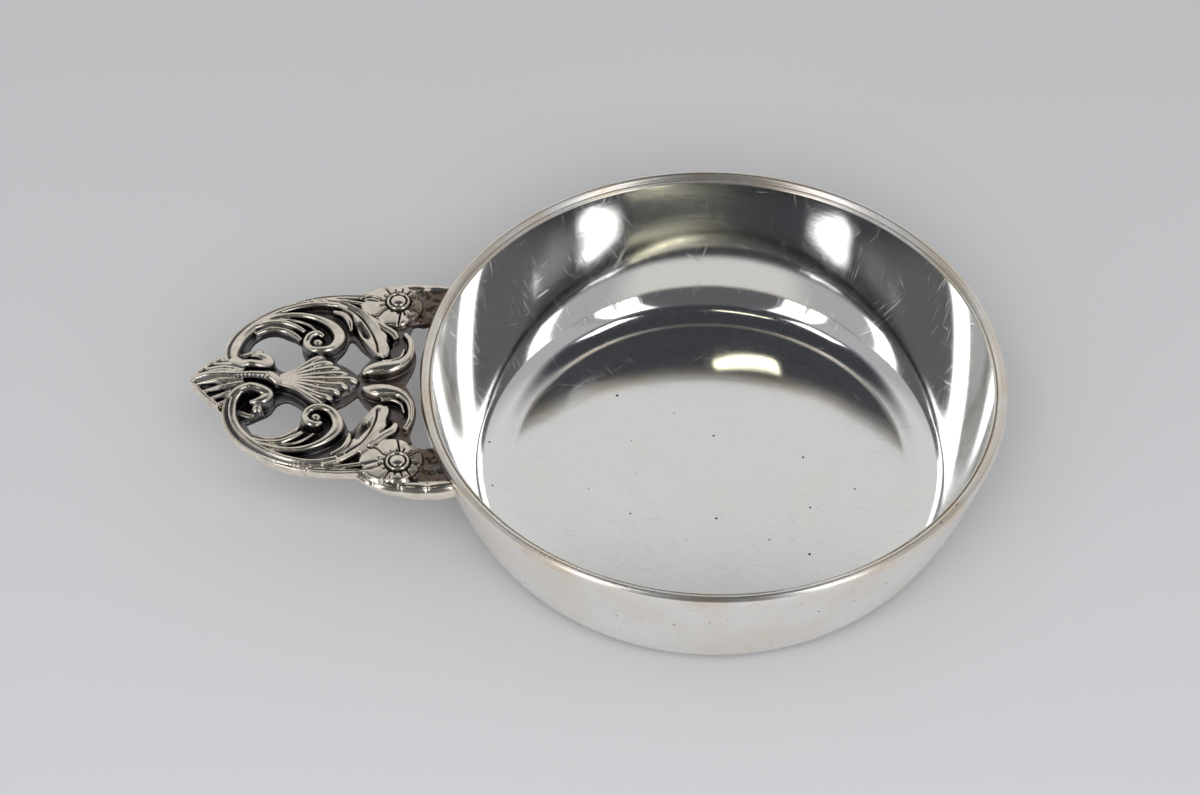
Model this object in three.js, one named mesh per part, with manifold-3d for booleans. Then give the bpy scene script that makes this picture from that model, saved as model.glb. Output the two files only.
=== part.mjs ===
// Porringer: a shallow spun silver bowl with one pierced, cast scroll handle.
// Millimetres, +Z up. The origin is the middle of the flat base, the handle points along -X.

import * as THREE from 'three';
import { mergeVertices } from 'three/addons/utils/BufferGeometryUtils.js';
import Module from 'manifold-3d';

const wasm = await Module();
wasm.setup();

// Bowl and rim wire
const rimDiameter = 114.3;
const bowlHeight = 31;
const baseDiameter = 85.3;
const wallThickness = 1;
const floorThickness = 1.05;
const heelReach = 7.2;
const wallLean = 14.6;
const wallStraight = 8.5;
const rimWireWidth = 2.6;
const rimWireHeight = 1.7;
const rimOverhang = 0.15;

// Handle casting: heights are measured from the casting's flat back
const handleLength = 44.5;
const handleWidth = 53.4;
const handleDrop = 1;
const plateThickness = 1.5;
const tipLift = 1.6;
const tipLiftRun = 11;
const lugThickness = 2.6;
const lugOuterEdge = 25.6;
const lugInnerEdge = 16.3;
const lugLength = 3.4;
const flowerOffset = 5.35;
const flowerSpacing = 40.8;
const flowerLength = 13.6;
const flowerBreadth = 12.2;
const petalRise = 2.25;
const petalCrease = 0.35;
const bossOffset = 4.05;
const bossSpacing = 42.2;
const bossDiameter = 4.8;
const bossRise = 3;
const ballDiameter = 2.4;
const fanRibWidth = 1.4;
const solderLeg = 1.5;
const solderInset = 0.6;

// Clearance between parts that don't sit face to face
const fitGap = 0.3;

// Counts
const roundSteps = 96;
const rimArchSteps = 6;
const petalCount = 5;
const stepsPerPetal = 8;
const bossSteps = 16;
const ballSteps = 10;
const fanRibsPerSide = 4;
const scrollSteps = 2;
const leafSteps = 1;
const solderSteps = 5;

// Worked out from the sizes above
const rimRadius = rimDiameter / 2;
const baseRadius = baseDiameter / 2;
const lipZ = bowlHeight - rimWireHeight;
const lipRadius = rimRadius - rimOverhang;
const leanAngle = THREE.MathUtils.degToRad(wallLean);
const plateTop = bowlHeight - handleDrop;
const plateBottom = plateTop - plateThickness;
const lugBottom = plateTop - lugThickness;

// The handle's curves are drawn for this rim, tip and half width, then scaled to the sizes above
const drawingRim = 57.15;
const drawingTip = 101.65;
const drawingHalfWidth = 26.7;

const silver = (name, color, roughness) => {
  const material = new THREE.MeshStandardMaterial({ color, roughness, metalness: 1 });
  material.name = name;
  return material;
};

// Turns a point of the drawing into a place on the handle
function place(x, y) {
  const reach = (x - drawingRim) * handleLength / (drawingTip - drawingRim);
  return new THREE.Vector2(-(rimRadius + reach), y * handleWidth / 2 / drawingHalfWidth);
}

// Joins and cuts

function toSolid(geometry) {
  const bare = geometry.clone();
  bare.deleteAttribute('normal');
  bare.deleteAttribute('uv');
  const merged = mergeVertices(bare, 1e-5);
  return new wasm.Manifold(new wasm.Mesh({
    numProp: 3,
    vertProperties: new Float32Array(merged.attributes.position.array),
    triVerts: new Uint32Array(merged.index.array),
  }));
}

function toGeometry(solid) {
  const mesh = solid.getMesh();
  const geometry = new THREE.BufferGeometry();
  geometry.setAttribute('position', new THREE.BufferAttribute(mesh.vertProperties, 3));
  geometry.setIndex(new THREE.BufferAttribute(mesh.triVerts, 1));
  geometry.computeVertexNormals();
  return geometry;
}

function mirrored(geometry) {
  const copy = geometry.index ? geometry.toNonIndexed() : geometry.clone();
  const position = copy.attributes.position;
  for (let corner = 0; corner < position.count; corner += 3) {
    const first = new THREE.Vector3().fromBufferAttribute(position, corner);
    const last = new THREE.Vector3().fromBufferAttribute(position, corner + 2);
    position.setXYZ(corner, last.x, last.y, last.z);
    position.setXYZ(corner + 2, first.x, first.y, first.z);
  }
  copy.scale(1, -1, 1);
  return mergeVertices(copy.deleteAttribute('normal').deleteAttribute('uv'), 1e-5);
}

// A closed loft through rings with the same number of points
function loft(rings) {
  const count = rings[0].length;
  const positions = rings.flat().flatMap((point) => [point.x, point.y, point.z]);
  const index = [];
  for (let ring = 0; ring + 1 < rings.length; ring += 1) {
    for (let side = 0; side < count; side += 1) {
      const a = ring * count + side;
      const b = ring * count + (side + 1) % count;
      index.push(a, b, a + count, b, b + count, a + count);
    }
  }
  const last = (rings.length - 1) * count;
  for (let side = 1; side + 1 < count; side += 1) {
    index.push(0, side + 1, side, last, last + side, last + side + 1);
  }
  const geometry = new THREE.BufferGeometry();
  geometry.setAttribute('position', new THREE.Float32BufferAttribute(positions, 3));
  geometry.setIndex(index);
  return geometry;
}

// Bowl: the outer wall is one curve from the flat base, round the heel and up to the lip
const wallCurve = new THREE.CubicBezierCurve(
  new THREE.Vector2(baseRadius, 0),
  new THREE.Vector2(baseRadius + heelReach, 0),
  new THREE.Vector2(
    lipRadius - wallStraight * Math.sin(leanAngle),
    lipZ - wallStraight * Math.cos(leanAngle),
  ),
  new THREE.Vector2(lipRadius, lipZ),
);

// A point of the wall curve moved square to it, outwards for a positive distance
function wallPoint(share, distance) {
  const point = wallCurve.getPoint(share);
  const tangent = wallCurve.getTangent(share);
  return new THREE.Vector2(point.x + tangent.y * distance, point.y - tangent.x * distance);
}

// Circles of the wall, closer together round the heel
const wallShares = [0.1, 0.2, 0.3, 0.42, 0.56, 0.72, 0.88];
const leastRingSpacing = 0.2;
const heelRunPerDrop = 2;

function bowlGeometry() {
  const outer = wallShares.map((share) => wallPoint(share, 0));
  const inner = wallShares.map((share) => wallPoint(share, -wallThickness))
    .filter((point) => point.y > floorThickness + leastRingSpacing && point.y < lipZ - leastRingSpacing)
    .reverse();
  const low = inner.at(-1);
  const crease = new THREE.Vector2(low.x - heelRunPerDrop * (low.y - floorThickness), floorThickness);
  const profile = [
    new THREE.Vector2(0, 0),
    new THREE.Vector2(baseRadius, 0),
    ...outer,
    new THREE.Vector2(lipRadius, lipZ),
    new THREE.Vector2(lipRadius - wallThickness, lipZ),
    ...inner,
    crease,
    new THREE.Vector2(0, floorThickness),
  ];
  return new THREE.LatheGeometry(profile, roundSteps).rotateX(Math.PI / 2);
}

// Rim wire: a D-section wire, flat side down on the lip, with a crease inside the bowl
function rimWireGeometry() {
  const profile = [];
  const middle = rimRadius - rimWireWidth / 2;
  for (let step = 0; step <= rimArchSteps; step += 1) {
    const turn = Math.PI * step / rimArchSteps;
    profile.push(new THREE.Vector2(
      middle + Math.cos(turn) * rimWireWidth / 2,
      lipZ + Math.sin(turn) * rimWireHeight,
    ));
  }
  profile.push(profile[0].clone());
  return new THREE.LatheGeometry(profile, roundSteps).rotateX(Math.PI / 2);
}

// The bowl's outside with its clearance, as one solid that trims the lugs
function bowlClearance() {
  const underWire = lipZ - fitGap;
  const shares = wallShares.filter((share) => wallPoint(share, 0).y < underWire);
  const outer = shares.map((share) => wallPoint(share, fitGap + rimOverhang));
  const profile = [
    new THREE.Vector2(0, outer[0].y),
    ...outer,
    new THREE.Vector2(rimRadius + fitGap, underWire),
    new THREE.Vector2(rimRadius + fitGap, 2 * bowlHeight),
    new THREE.Vector2(0, 2 * bowlHeight),
  ];
  return new THREE.LatheGeometry(profile, roundSteps).rotateX(Math.PI / 2);
}

// Handle outline, one half: each entry is a smooth stretch of the edge, from the tip to the bowl
const edgeStretches = [
  [[101.65, 0], [100.4, 2], [98.5, 4.3], [95.3, 6.9]],
  [[95.3, 6.9], [94.9, 9.6], [93, 13.4], [89.2, 17.5], [84.8, 20.6], [79, 22.8], [69.2, 23.6]],
  [[69.2, 23.6], [66, 25.3], [62, 26.2], [57.5, 25.4]],
];
const neckPlace = 57.2;
const bowlSideStretch = [[58.2, 15.9], [58.9, 13.2], [58.1, 10], [57.7, 7.2], [58.2, 4], [59.9, 0]];

// Piercings, one of each pair: the scroll window and the small diamond
const windowLoop = [
  [90.4, 9.6], [89.2, 12], [87.2, 13.6], [85, 13.9], [82.6, 12.8], [80.3, 11.3],
  [79.9, 9], [79.3, 6.7], [80.8, 4.8], [82.8, 3.8], [84.4, 4.6], [85.9, 7], [88.2, 8.5],
];
const diamondLoop = [
  [69, 2.6], [68, 4.7], [66.6, 7.1], [68.4, 9.6], [70.3, 12], [71.5, 9.3], [73.2, 6.3], [71.2, 4.7],
];

function smoothPoints(points, steps) {
  const curve = new THREE.CatmullRomCurve3(
    points.map(([x, y]) => new THREE.Vector3(...place(x, y).toArray(), 0)),
    false,
    'centripetal',
  );
  return curve.getPoints(steps * (points.length - 1)).map((point) => new THREE.Vector2(point.x, point.y));
}

function flip(points) {
  return points.map((point) => new THREE.Vector2(point.x, -point.y)).reverse();
}

// How far towards the bowl a lug runs before it is trimmed
function lugReach(inside) {
  return inside - Math.sqrt(lipRadius ** 2 - lugOuterEdge ** 2);
}

// Flat back plate with its piercings; the lugs run into the bowl and are trimmed there later
function plateGeometry() {
  const half = edgeStretches.flatMap((points) => smoothPoints(points, scrollSteps).slice(0, -1));
  const reach = lugReach(2 * wallThickness);
  half.push(
    place(...edgeStretches.at(-1).at(-1)),
    new THREE.Vector2(reach, lugOuterEdge),
    new THREE.Vector2(reach, lugInnerEdge),
    new THREE.Vector2(place(neckPlace, 0).x, lugInnerEdge),
    ...smoothPoints(bowlSideStretch, scrollSteps),
  );
  const other = flip(half).slice(1, -1);
  const shape = new THREE.Shape([...half, ...other].reverse());
  for (const [loop, steps] of [[windowLoop, scrollSteps], [diamondLoop, leafSteps]]) {
    const points = smoothPoints([...loop, loop[0]], steps).slice(0, -1);
    shape.holes.push(new THREE.Path(points), new THREE.Path(flip(points)));
  }
  const settings = { depth: plateThickness, bevelEnabled: false };
  return new THREE.ExtrudeGeometry(shape, settings).translate(0, 0, plateBottom);
}

// Lug: the thick foot behind each flower that is soldered to the bowl
function lugGeometry() {
  const reach = lugReach(wallThickness);
  const back = -(rimRadius + lugLength);
  const shape = new THREE.Shape([
    new THREE.Vector2(back, lugInnerEdge),
    new THREE.Vector2(reach, lugInnerEdge),
    new THREE.Vector2(reach, lugOuterEdge),
    new THREE.Vector2(back, lugOuterEdge),
  ]);
  const settings = { depth: lugThickness - plateThickness / 2, bevelEnabled: false };
  return new THREE.ExtrudeGeometry(shape, settings).translate(0, 0, lugBottom);
}

// Tops of the bands: place across in widths, and rise as a share of the way from foot to crest
const crown = [[0.5, 0.72], [0.2, 1], [-0.2, 1], [-0.5, 0.72]];
const stepped = [[0.5, 0.6], [0.32, 0.8], [0.2, 0.58], [0.04, 0.97], [-0.3, 1], [-0.5, 0.74]];
const grooved = [[0.5, 0.74], [0.28, 1], [0, 0.84], [-0.28, 1], [-0.5, 0.74]];
const dished = [[0.5, 0.78], [0.4, 1], [0, 0.72], [-0.4, 1], [-0.5, 0.78]];

// Scrolls, one half: along each, x, y, height over the plate's face, and width
const scrolls = {
  curl: [crown, [
    [89.7, 6, 2, 0.5], [88.4, 6, 2.4, 1.3], [87, 5.4, 2.5, 2], [86.2, 4.2, 2.5, 2.2],
    [87.3, 3.3, 3, 1.9], [89.6, 3, 3.6, 1.7], [91.8, 3.6, 3, 1.9], [93.2, 5.4, 2.1, 2.4],
  ]],
  outerScroll: [stepped, [
    [91.8, 3.6, 3, 1.9], [93.2, 5.4, 2.1, 2.4], [93.5, 8.6, 1.45, 2.8], [92.4, 11.9, 1.25, 2.9],
    [90.1, 15, 1.25, 2.7], [86.5, 18, 1.15, 2.1], [82, 20.2, 1.15, 1.8], [77, 21.1, 1.15, 1.6],
    [72.8, 20.4, 1.3, 1.5],
  ]],
  shoulderLeaf: [dished, [
    [75.5, 21.1, 1.1, 1.3], [72.8, 20.4, 1.3, 1.6], [69.6, 18.2, 1.5, 2], [67.6, 14.8, 1.35, 3.6],
    [66.1, 11.6, 1.25, 4.2], [64.9, 9, 1.2, 3.6], [64.3, 7.6, 1.1, 2.9], [64, 6.7, 0.9, 1.9],
    [63.9, 6.3, 0.6, 0.8],
  ]],
  innerScroll: [crown, [
    [75.7, 11.3, 1.7, 0.7], [76.8, 12, 2.1, 1.1], [78.3, 11.4, 2.2, 1.35], [79, 9.6, 1.9, 1.35],
    [78.1, 8, 2, 1.3], [76.3, 7.5, 2.2, 1.3], [74.2, 8.2, 2, 1.5], [72.9, 10.1, 1.8, 2.1],
    [72.7, 12.1, 1.7, 2.3], [74.1, 14.6, 1.6, 1.8], [77, 16.7, 1.4, 1.2], [80.5, 17.7, 1.3, 1.1],
    [84.5, 17.4, 1.3, 1.1], [88, 15.9, 1.2, 0.9],
  ]],
  bowlScroll: [crown, [
    [68, 1.7, 0.9, 0.6], [67, 2.4, 1.5, 2], [65, 2.9, 1.9, 3.2], [62.8, 3.2, 1.95, 2.9],
    [60.7, 4, 1.8, 2], [59.1, 6, 1.6, 1.4], [58.6, 8.5, 1.35, 1.15], [58.9, 10.8, 1.1, 1],
    [59.9, 12.6, 0.8, 0.8],
  ]],
  edgeBand: [grooved, [
    [87.5, 18.6, 0, 0.5], [84.5, 20.3, 0.35, 0.8], [79, 22.2, 0.45, 1], [73.5, 23, 0.55, 1.1],
    [68.6, 23.1, 0.6, 1.1],
  ]],
};

// Leaves, veins and ribs, one half, each with a crowned top
const leaves = {
  scrollVein: [[88.6, 15.3, 1, 0.4], [84.6, 16.5, 1.05, 0.5], [81, 16.1, 1, 0.5], [77.2, 13.5, 0.9, 0.4]],
  middleLeaf: [
    [89.6, 14.4, 1.1, 0.6], [87, 15.6, 1.3, 0.9], [83.8, 15.7, 1.35, 0.95], [79.4, 13.2, 1.1, 0.7],
  ],
  windowLeaf: [
    [89.2, 13.2, 0.7, 0.7], [86.6, 14.5, 0.75, 1], [83.7, 14.3, 0.7, 1.2], [80.2, 11.4, 0.5, 0.8],
  ],
  hollowLeaf: [
    [74, 18.9, 0.8, 0.7], [71.7, 17.6, 1.15, 1.2], [70.6, 15.4, 1.1, 1.1], [70.4, 13.6, 0.8, 0.6],
  ],
  edgeVein: [[78, 21.8, 0.3, 0.4], [73, 21.9, 0.7, 0.8], [69, 21.3, 0.9, 1]],
  flowerLeaf: [
    [68.6, 18.6, 1.2, 0.8], [66.5, 16.6, 1.15, 1], [64.2, 14.4, 1.1, 1.3], [62.2, 12.7, 1, 1.5],
    [61.5, 11.2, 0.8, 1],
  ],
  flowerVein: [[66.2, 14.6, 0.9, 0.5], [64.3, 12.4, 1.1, 1], [63.2, 10.6, 1, 0.9]],
  bowlVein: [[64.4, 5.2, 0.9, 0.4], [62.3, 5.2, 1, 0.55], [60.6, 6.3, 0.9, 0.5], [60, 8.4, 0.7, 0.4]],
  collar: [[91.8, 7.3, 0.5, 1.4], [89.2, 8.2, 0.35, 1.3], [87, 7.4, 0.5, 1.1]],
  firstTipRib: [[91, 0.9, 3.1, 0.6], [95.4, 1.3, 2.7, 0.95], [99.6, 1.6, 0.9, 0.9]],
  secondTipRib: [[90.8, 1.6, 2.9, 0.6], [94.6, 2.5, 2.4, 1.05], [98.3, 3.3, 0.9, 1.1]],
  thirdTipRib: [[90.8, 2.3, 2.6, 0.5], [93.8, 3.8, 2, 1.05], [96.8, 4.9, 0.9, 1.15]],
  fourthTipRib: [[91.9, 3.6, 1.9, 0.5], [93.8, 5.1, 1.3, 0.95], [95.5, 6.1, 0.8, 1.1]],
};

// The raised middle of the handle, along the axis
const middleForms = {
  stem: [
    [101.4, 0, 0.1, 0.6], [100.3, 0, 1.3, 1], [96, 0, 3, 1.25], [90, 0, 3.7, 1.5], [87.6, 0, 3.6, 1.7],
    [85.8, 0, 3.2, 2.3], [84.6, 0, 2.4, 2.9], [83.6, 0, 1.5, 1.8],
  ],
  leafPad: [
    [101.3, 0, 0, 1], [99, 0, 0.45, 6.2], [96.6, 0, 1, 10.2], [94, 0, 1.5, 9.4], [90, 0, 2, 5.4],
    [85.6, 0, 1.3, 3.6],
  ],
  fanWeb: [
    [84.4, 0, 0.9, 1.6], [82, 0, 1, 4.2], [79.2, 0, 1.05, 8.4], [76.6, 0, 0.95, 12], [74.9, 0, 0.8, 12.6],
    [72.2, 0, 0.7, 8], [70, 0, 0.6, 3.8], [68.8, 0, 0.3, 1.2],
  ],
};

// A cast band: its section stands on the plate and follows the curve with its own height and width
function bandGeometry(points, section, steps) {
  const line = new THREE.CatmullRomCurve3(
    points.map(([x, y, height]) => new THREE.Vector3(...place(x, y).toArray(), plateTop + height)),
    false,
    'centripetal',
  );
  const foot = plateTop - plateThickness / 2;
  const total = steps * (points.length - 1);
  const rings = [];
  for (let step = 0; step <= total; step += 1) {
    const share = step / total;
    const along = share * (points.length - 1);
    const before = Math.min(Math.floor(along), points.length - 2);
    const width = THREE.MathUtils.lerp(points[before][3], points[before + 1][3], along - before);
    const centre = line.getPoint(share);
    const run = line.getTangent(share);
    const side = new THREE.Vector3(-run.y, run.x, 0).normalize();
    rings.push([[-0.5, 0], [0.5, 0], ...section].map(([across, rise]) => {
      const corner = centre.clone().addScaledVector(side, across * width);
      return corner.setZ(THREE.MathUtils.lerp(foot, centre.z, rise));
    }));
  }
  return loft(rings);
}

// Fan: ribs that spread from the knot like a shell and end along its two slanted edges
const fanKnot = 84.4;
const fanWaist = 80.8;
const fanTip = 68.9;
const fanShoulder = 75.1;
const fanHalfWidth = 5.9;

function fanRib(number) {
  const share = number / fanRibsPerSide;
  const endX = THREE.MathUtils.lerp(fanTip, fanShoulder, share ** 0.9);
  const endY = fanHalfWidth * share;
  const bulgeX = (fanWaist + endX) / 2;
  return [
    [fanKnot, 0.15 * endY, 1.5, fanRibWidth * 0.4],
    [fanWaist, 0.42 * endY, 1.75, fanRibWidth * 0.55],
    [bulgeX, 0.9 * endY, 1.7, fanRibWidth * 0.85],
    [endX, endY, 0.9, fanRibWidth],
  ];
}

// Petals: from the flat back round the rolled edge to the middle, as a share of the flower's reach
// and of the fall from its face to its back
const petalRings = [[1, 1], [1, 0.82], [0.96, 0.4], [0.86, 0.05], [0.62, 0], [0.34, 0]];
const firstCrease = 0.35;
const petalNotch = 0.11;

function petalGeometry() {
  const steps = petalCount * stepsPerPetal;
  const rings = petalRings.map(([reach, fall]) => {
    const ring = [];
    for (let step = 0; step < steps; step += 1) {
      const turn = firstCrease + 2 * Math.PI * step / steps;
      const crease = (1 - Math.abs(Math.sin(Math.PI * step / stepsPerPetal))) ** 3;
      const edge = reach * (1 - petalNotch * crease);
      ring.push(new THREE.Vector3(
        Math.cos(turn) * edge * flowerLength / 2 - rimRadius - flowerOffset,
        Math.sin(turn) * edge * flowerBreadth / 2 + flowerSpacing / 2,
        plateBottom + (petalRise - petalCrease * crease * reach) * (1 - fall),
      ));
    }
    return ring;
  });
  return loft(rings);
}

// Boss: a flat dome in a raised ring, as shares of its radius, from the axis and down from the top
const bossSection = [[1, 0.34], [0.94, 0.14], [0.85, 0.14], [0.77, 0.26], [0.68, 0.07], [0.35, 0], [0, 0]];

function bossGeometry() {
  const radius = bossDiameter / 2;
  const foot = plateTop - plateThickness / 2;
  const profile = [new THREE.Vector2(0, foot), new THREE.Vector2(radius, foot)];
  for (const [out, down] of bossSection) {
    profile.push(new THREE.Vector2(radius * out, plateBottom + bossRise - radius * down));
  }
  const boss = new THREE.LatheGeometry(profile, bossSteps).rotateX(Math.PI / 2);
  return boss.translate(-(rimRadius + bossOffset), bossSpacing / 2, 0);
}

// Balls in the two curls: x, y and height over the plate's face
const ballPlaces = [[88.2, 7.2, 0.55], [76.9, 9.8, 0.6]];

function ballGeometry([x, y, height]) {
  const spot = place(x, y);
  const ball = new THREE.SphereGeometry(ballDiameter / 2, ballSteps, ballSteps - 2);
  return ball.rotateX(Math.PI / 2).translate(spot.x, spot.y, plateTop + height);
}

// The leaf at the tip curves gently upwards
function liftTip(geometry) {
  const position = geometry.attributes.position;
  const end = rimRadius + handleLength;
  for (let corner = 0; corner < position.count; corner += 1) {
    const share = THREE.MathUtils.smoothstep(-position.getX(corner), end - tipLiftRun, end);
    position.setZ(corner, position.getZ(corner) + tipLift * share);
  }
  geometry.computeVertexNormals();
  return geometry;
}

function handleGeometry() {
  const half = [
    ...Object.values(scrolls).map(([section, points]) => bandGeometry(points, section, scrollSteps)),
    ...Object.values(leaves).map((points) => bandGeometry(points, crown, leafSteps)),
    ...ballPlaces.map(ballGeometry),
    petalGeometry(),
    bossGeometry(),
    lugGeometry(),
  ];
  for (let number = 1; number <= fanRibsPerSide; number += 1) {
    half.push(bandGeometry(fanRib(number), crown, leafSteps));
  }
  const middle = [
    ...Object.values(middleForms).map((points) => bandGeometry(points, crown, scrollSteps)),
    bandGeometry(fanRib(0), crown, leafSteps),
  ];
  const forms = [...half, ...half.map(mirrored), ...middle];
  const joined = forms.reduce((whole, form) => whole.add(toSolid(form)), toSolid(plateGeometry()));
  return liftTip(toGeometry(joined.subtract(toSolid(bowlClearance()))));
}

// Where on the wall's curve a height is reached
function wallShareAt(z) {
  let low = 0;
  let high = 1;
  for (let halving = 0; halving < 20; halving += 1) {
    const middle = (low + high) / 2;
    if (wallPoint(middle, 0).y < z) {
      low = middle;
    } else {
      high = middle;
    }
  }
  return high;
}

// Solder fillet: a small seam under a lug, along the bowl's wall, hollowed between its two legs
function solderGeometry(side) {
  const start = Math.asin((lugInnerEdge + solderInset) / rimRadius);
  const end = Math.asin((lugOuterEdge - solderInset) / rimRadius);
  const top = wallPoint(wallShareAt(lugBottom), fitGap);
  const low = wallPoint(wallShareAt(lugBottom - solderLeg), fitGap);
  const section = [
    [top.x, lugBottom],
    [low.x, low.y],
    [THREE.MathUtils.lerp(low.x, top.x + solderLeg, 0.3), THREE.MathUtils.lerp(low.y, lugBottom, 0.55)],
    [top.x + solderLeg, lugBottom],
  ];
  const rings = [];
  for (let step = 0; step <= solderSteps; step += 1) {
    const turn = THREE.MathUtils.lerp(start, end, step / solderSteps) * side;
    rings.push(section.map(([radius, z]) => new THREE.Vector3(
      -radius * Math.cos(turn),
      radius * Math.sin(turn),
      z,
    )));
  }
  return loft(side > 0 ? rings : rings.reverse());
}

const porringer = new THREE.Group();

function addPart(name, geometry, material) {
  const mesh = new THREE.Mesh(geometry, material);
  mesh.name = name;
  porringer.add(mesh);
}

addPart('bowl', bowlGeometry(), silver('polished_silver', 0xc9c3b8, 0.16));
addPart('rim_wire', rimWireGeometry(), silver('rim_silver', 0xcfc9be, 0.14));
addPart('handle', handleGeometry(), silver('cast_silver', 0xb9b0a1, 0.28));
addPart('solder_fillet_left', solderGeometry(1), silver('solder_left', 0x8f8a82, 0.4));
addPart('solder_fillet_right', solderGeometry(-1), silver('solder_right', 0x8f8a82, 0.4));

export default porringer;
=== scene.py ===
"""Porringer: a round silver bowl with a pierced, cast scroll handle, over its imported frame."""

import logging
import math
from dataclasses import dataclass
from enum import Enum

import bpy
import numpy as np
from mathutils import Matrix, Vector, noise
from mathutils.geometry import interpolate_bezier


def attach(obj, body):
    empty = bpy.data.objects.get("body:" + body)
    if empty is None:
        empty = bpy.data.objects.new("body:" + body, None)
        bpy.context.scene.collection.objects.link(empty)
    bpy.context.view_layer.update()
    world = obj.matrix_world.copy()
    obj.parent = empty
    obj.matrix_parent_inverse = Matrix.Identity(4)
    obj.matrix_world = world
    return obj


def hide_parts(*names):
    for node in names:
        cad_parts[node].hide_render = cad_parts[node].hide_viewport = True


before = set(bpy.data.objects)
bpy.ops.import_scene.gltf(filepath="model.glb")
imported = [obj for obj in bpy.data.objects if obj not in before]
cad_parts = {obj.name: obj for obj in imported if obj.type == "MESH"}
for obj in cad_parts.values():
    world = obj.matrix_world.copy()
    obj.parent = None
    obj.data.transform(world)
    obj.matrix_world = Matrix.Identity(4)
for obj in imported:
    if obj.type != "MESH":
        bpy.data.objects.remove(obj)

log = logging.getLogger("porringer")

MM = 0.001
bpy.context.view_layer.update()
BODY = "root"

Pair = tuple[float, float]
Row = tuple[float, float, float, float]
Stops = tuple[tuple[float, str], ...]
Piece = bpy.types.Object


# Small tools


def hex_to_linear(code: str) -> tuple[float, float, float, float]:
    """Turn an sRGB hex colour into a linear one.

    Args:
        code: Six hex digits after a hash sign.

    Returns:
        Linear red, green and blue, and an alpha of 1.
    """
    channels = [int(code[start:start + 2], 16) / 255 for start in (1, 3, 5)]
    linear = [c / 12.92 if c <= 0.04045 else ((c + 0.055) / 1.055) ** 2.4 for c in channels]
    return (*linear, 1.0)


def activate(piece: Piece) -> None:
    """Make one piece the only selected and active object, in object mode.

    Args:
        piece: The object to work on.
    """
    if bpy.context.object and bpy.context.object.mode != "OBJECT":
        bpy.ops.object.mode_set(mode="OBJECT")
    bpy.ops.object.select_all(action="DESELECT")
    piece.select_set(True)
    bpy.context.view_layer.objects.active = piece


def apply_modifier(piece: Piece, kind: str, **settings: object) -> None:
    """Add one modifier and apply it at once.

    Args:
        piece: The mesh object that gets it.
        kind: Blender's name for the type of modifier.
        **settings: Its settings by name.
    """
    activate(piece)
    modifier = piece.modifiers.new(kind.title(), kind)
    for name, value in settings.items():
        setattr(modifier, name, value)
    bpy.ops.object.modifier_apply(modifier=modifier.name)


def piece_from(
    name: str, points: list[tuple[float, ...]], faces: list[tuple[int, ...]],
) -> Piece:
    """Make a mesh object from corners and faces.

    Args:
        name: Name of the new object.
        points: Rows of X, Y and Z.
        faces: Corner numbers of each face.

    Returns:
        The new object, linked to the scene.
    """
    mesh = bpy.data.meshes.new(name)
    mesh.from_pydata([tuple(map(float, point)) for point in points], [], faces)
    piece = bpy.data.objects.new(name, mesh)
    bpy.context.scene.collection.objects.link(piece)
    return piece


def lofted(name: str, points: list[tuple[float, ...]], per_ring: int) -> Piece:
    """Skin a row of rings that have the same number of corners, and close both ends.

    Args:
        name: Name of the new object.
        points: The corners, ring after ring.
        per_ring: Corners of one ring.

    Returns:
        The new object.
    """
    last = len(points) - per_ring
    faces = [
        (low + k, low + (k + 1) % per_ring,
         low + per_ring + (k + 1) % per_ring, low + per_ring + k)
        for low in range(0, last, per_ring) for k in range(per_ring)
    ]
    faces.append(tuple(range(per_ring)))
    faces.append(tuple(range(last, len(points)))[::-1])
    return piece_from(name, points, faces)


def joined(name: str, pieces: list[Piece]) -> Piece:
    """Join mesh objects into one.

    Args:
        name: Name of the joined object.
        pieces: The objects, of which the first is kept.

    Returns:
        The joined object.
    """
    activate(pieces[0])
    for piece in pieces:
        piece.select_set(True)
    bpy.ops.object.join()
    pieces[0].name = name
    return pieces[0]


def close_and_face_outwards(piece: Piece, doubles: float = 1e-6) -> None:
    """Merge doubled corners and turn every face outwards.

    Args:
        piece: The mesh object to mend.
        doubles: Corners nearer than this become one.
    """
    activate(piece)
    bpy.ops.object.mode_set(mode="EDIT")
    bpy.ops.mesh.select_all(action="SELECT")
    bpy.ops.mesh.remove_doubles(threshold=doubles)
    bpy.ops.mesh.normals_make_consistent(inside=False)
    bpy.ops.object.mode_set(mode="OBJECT")


def turned(name: str, profile: list[Pair], steps: int, ring: bool) -> Piece:
    """Raise a round shape ring by ring, as it would be turned on a lathe.

    A disc or a bare circle is added, and its edge is extruded from point to point of the profile.
    Each new circle is moved along the axis and scaled about it.

    Args:
        name: Name of the new object.
        profile: Radius and height of each circle.
        steps: Corners round each circle.
        ring: True for a ring whose profile is closed, False for a shape that a disc closes.

    Returns:
        The turned object, with its faces outwards.
    """
    radius, height = profile[0]
    bpy.ops.object.select_all(action="DESELECT")
    bpy.ops.mesh.primitive_circle_add(
        vertices=steps, radius=radius, location=(0, 0, 0),
        fill_type="NOTHING" if ring else "NGON",
    )
    piece = bpy.context.object
    piece.name = name
    bpy.ops.object.mode_set(mode="EDIT")
    bpy.ops.mesh.select_all(action="SELECT")
    bpy.ops.transform.translate(value=(0, 0, height))
    extrude = bpy.ops.mesh.extrude_edges_move if ring else bpy.ops.mesh.extrude_region_move
    for next_radius, next_height in profile[1:]:
        extrude()
        factor = next_radius / radius
        bpy.ops.transform.translate(value=(0, 0, next_height - height))
        bpy.ops.transform.resize(value=(factor, factor, 1), center_override=(0, 0, 0))
        radius, height = next_radius, next_height
    bpy.ops.object.mode_set(mode="OBJECT")
    close_and_face_outwards(piece)
    return piece


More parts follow.
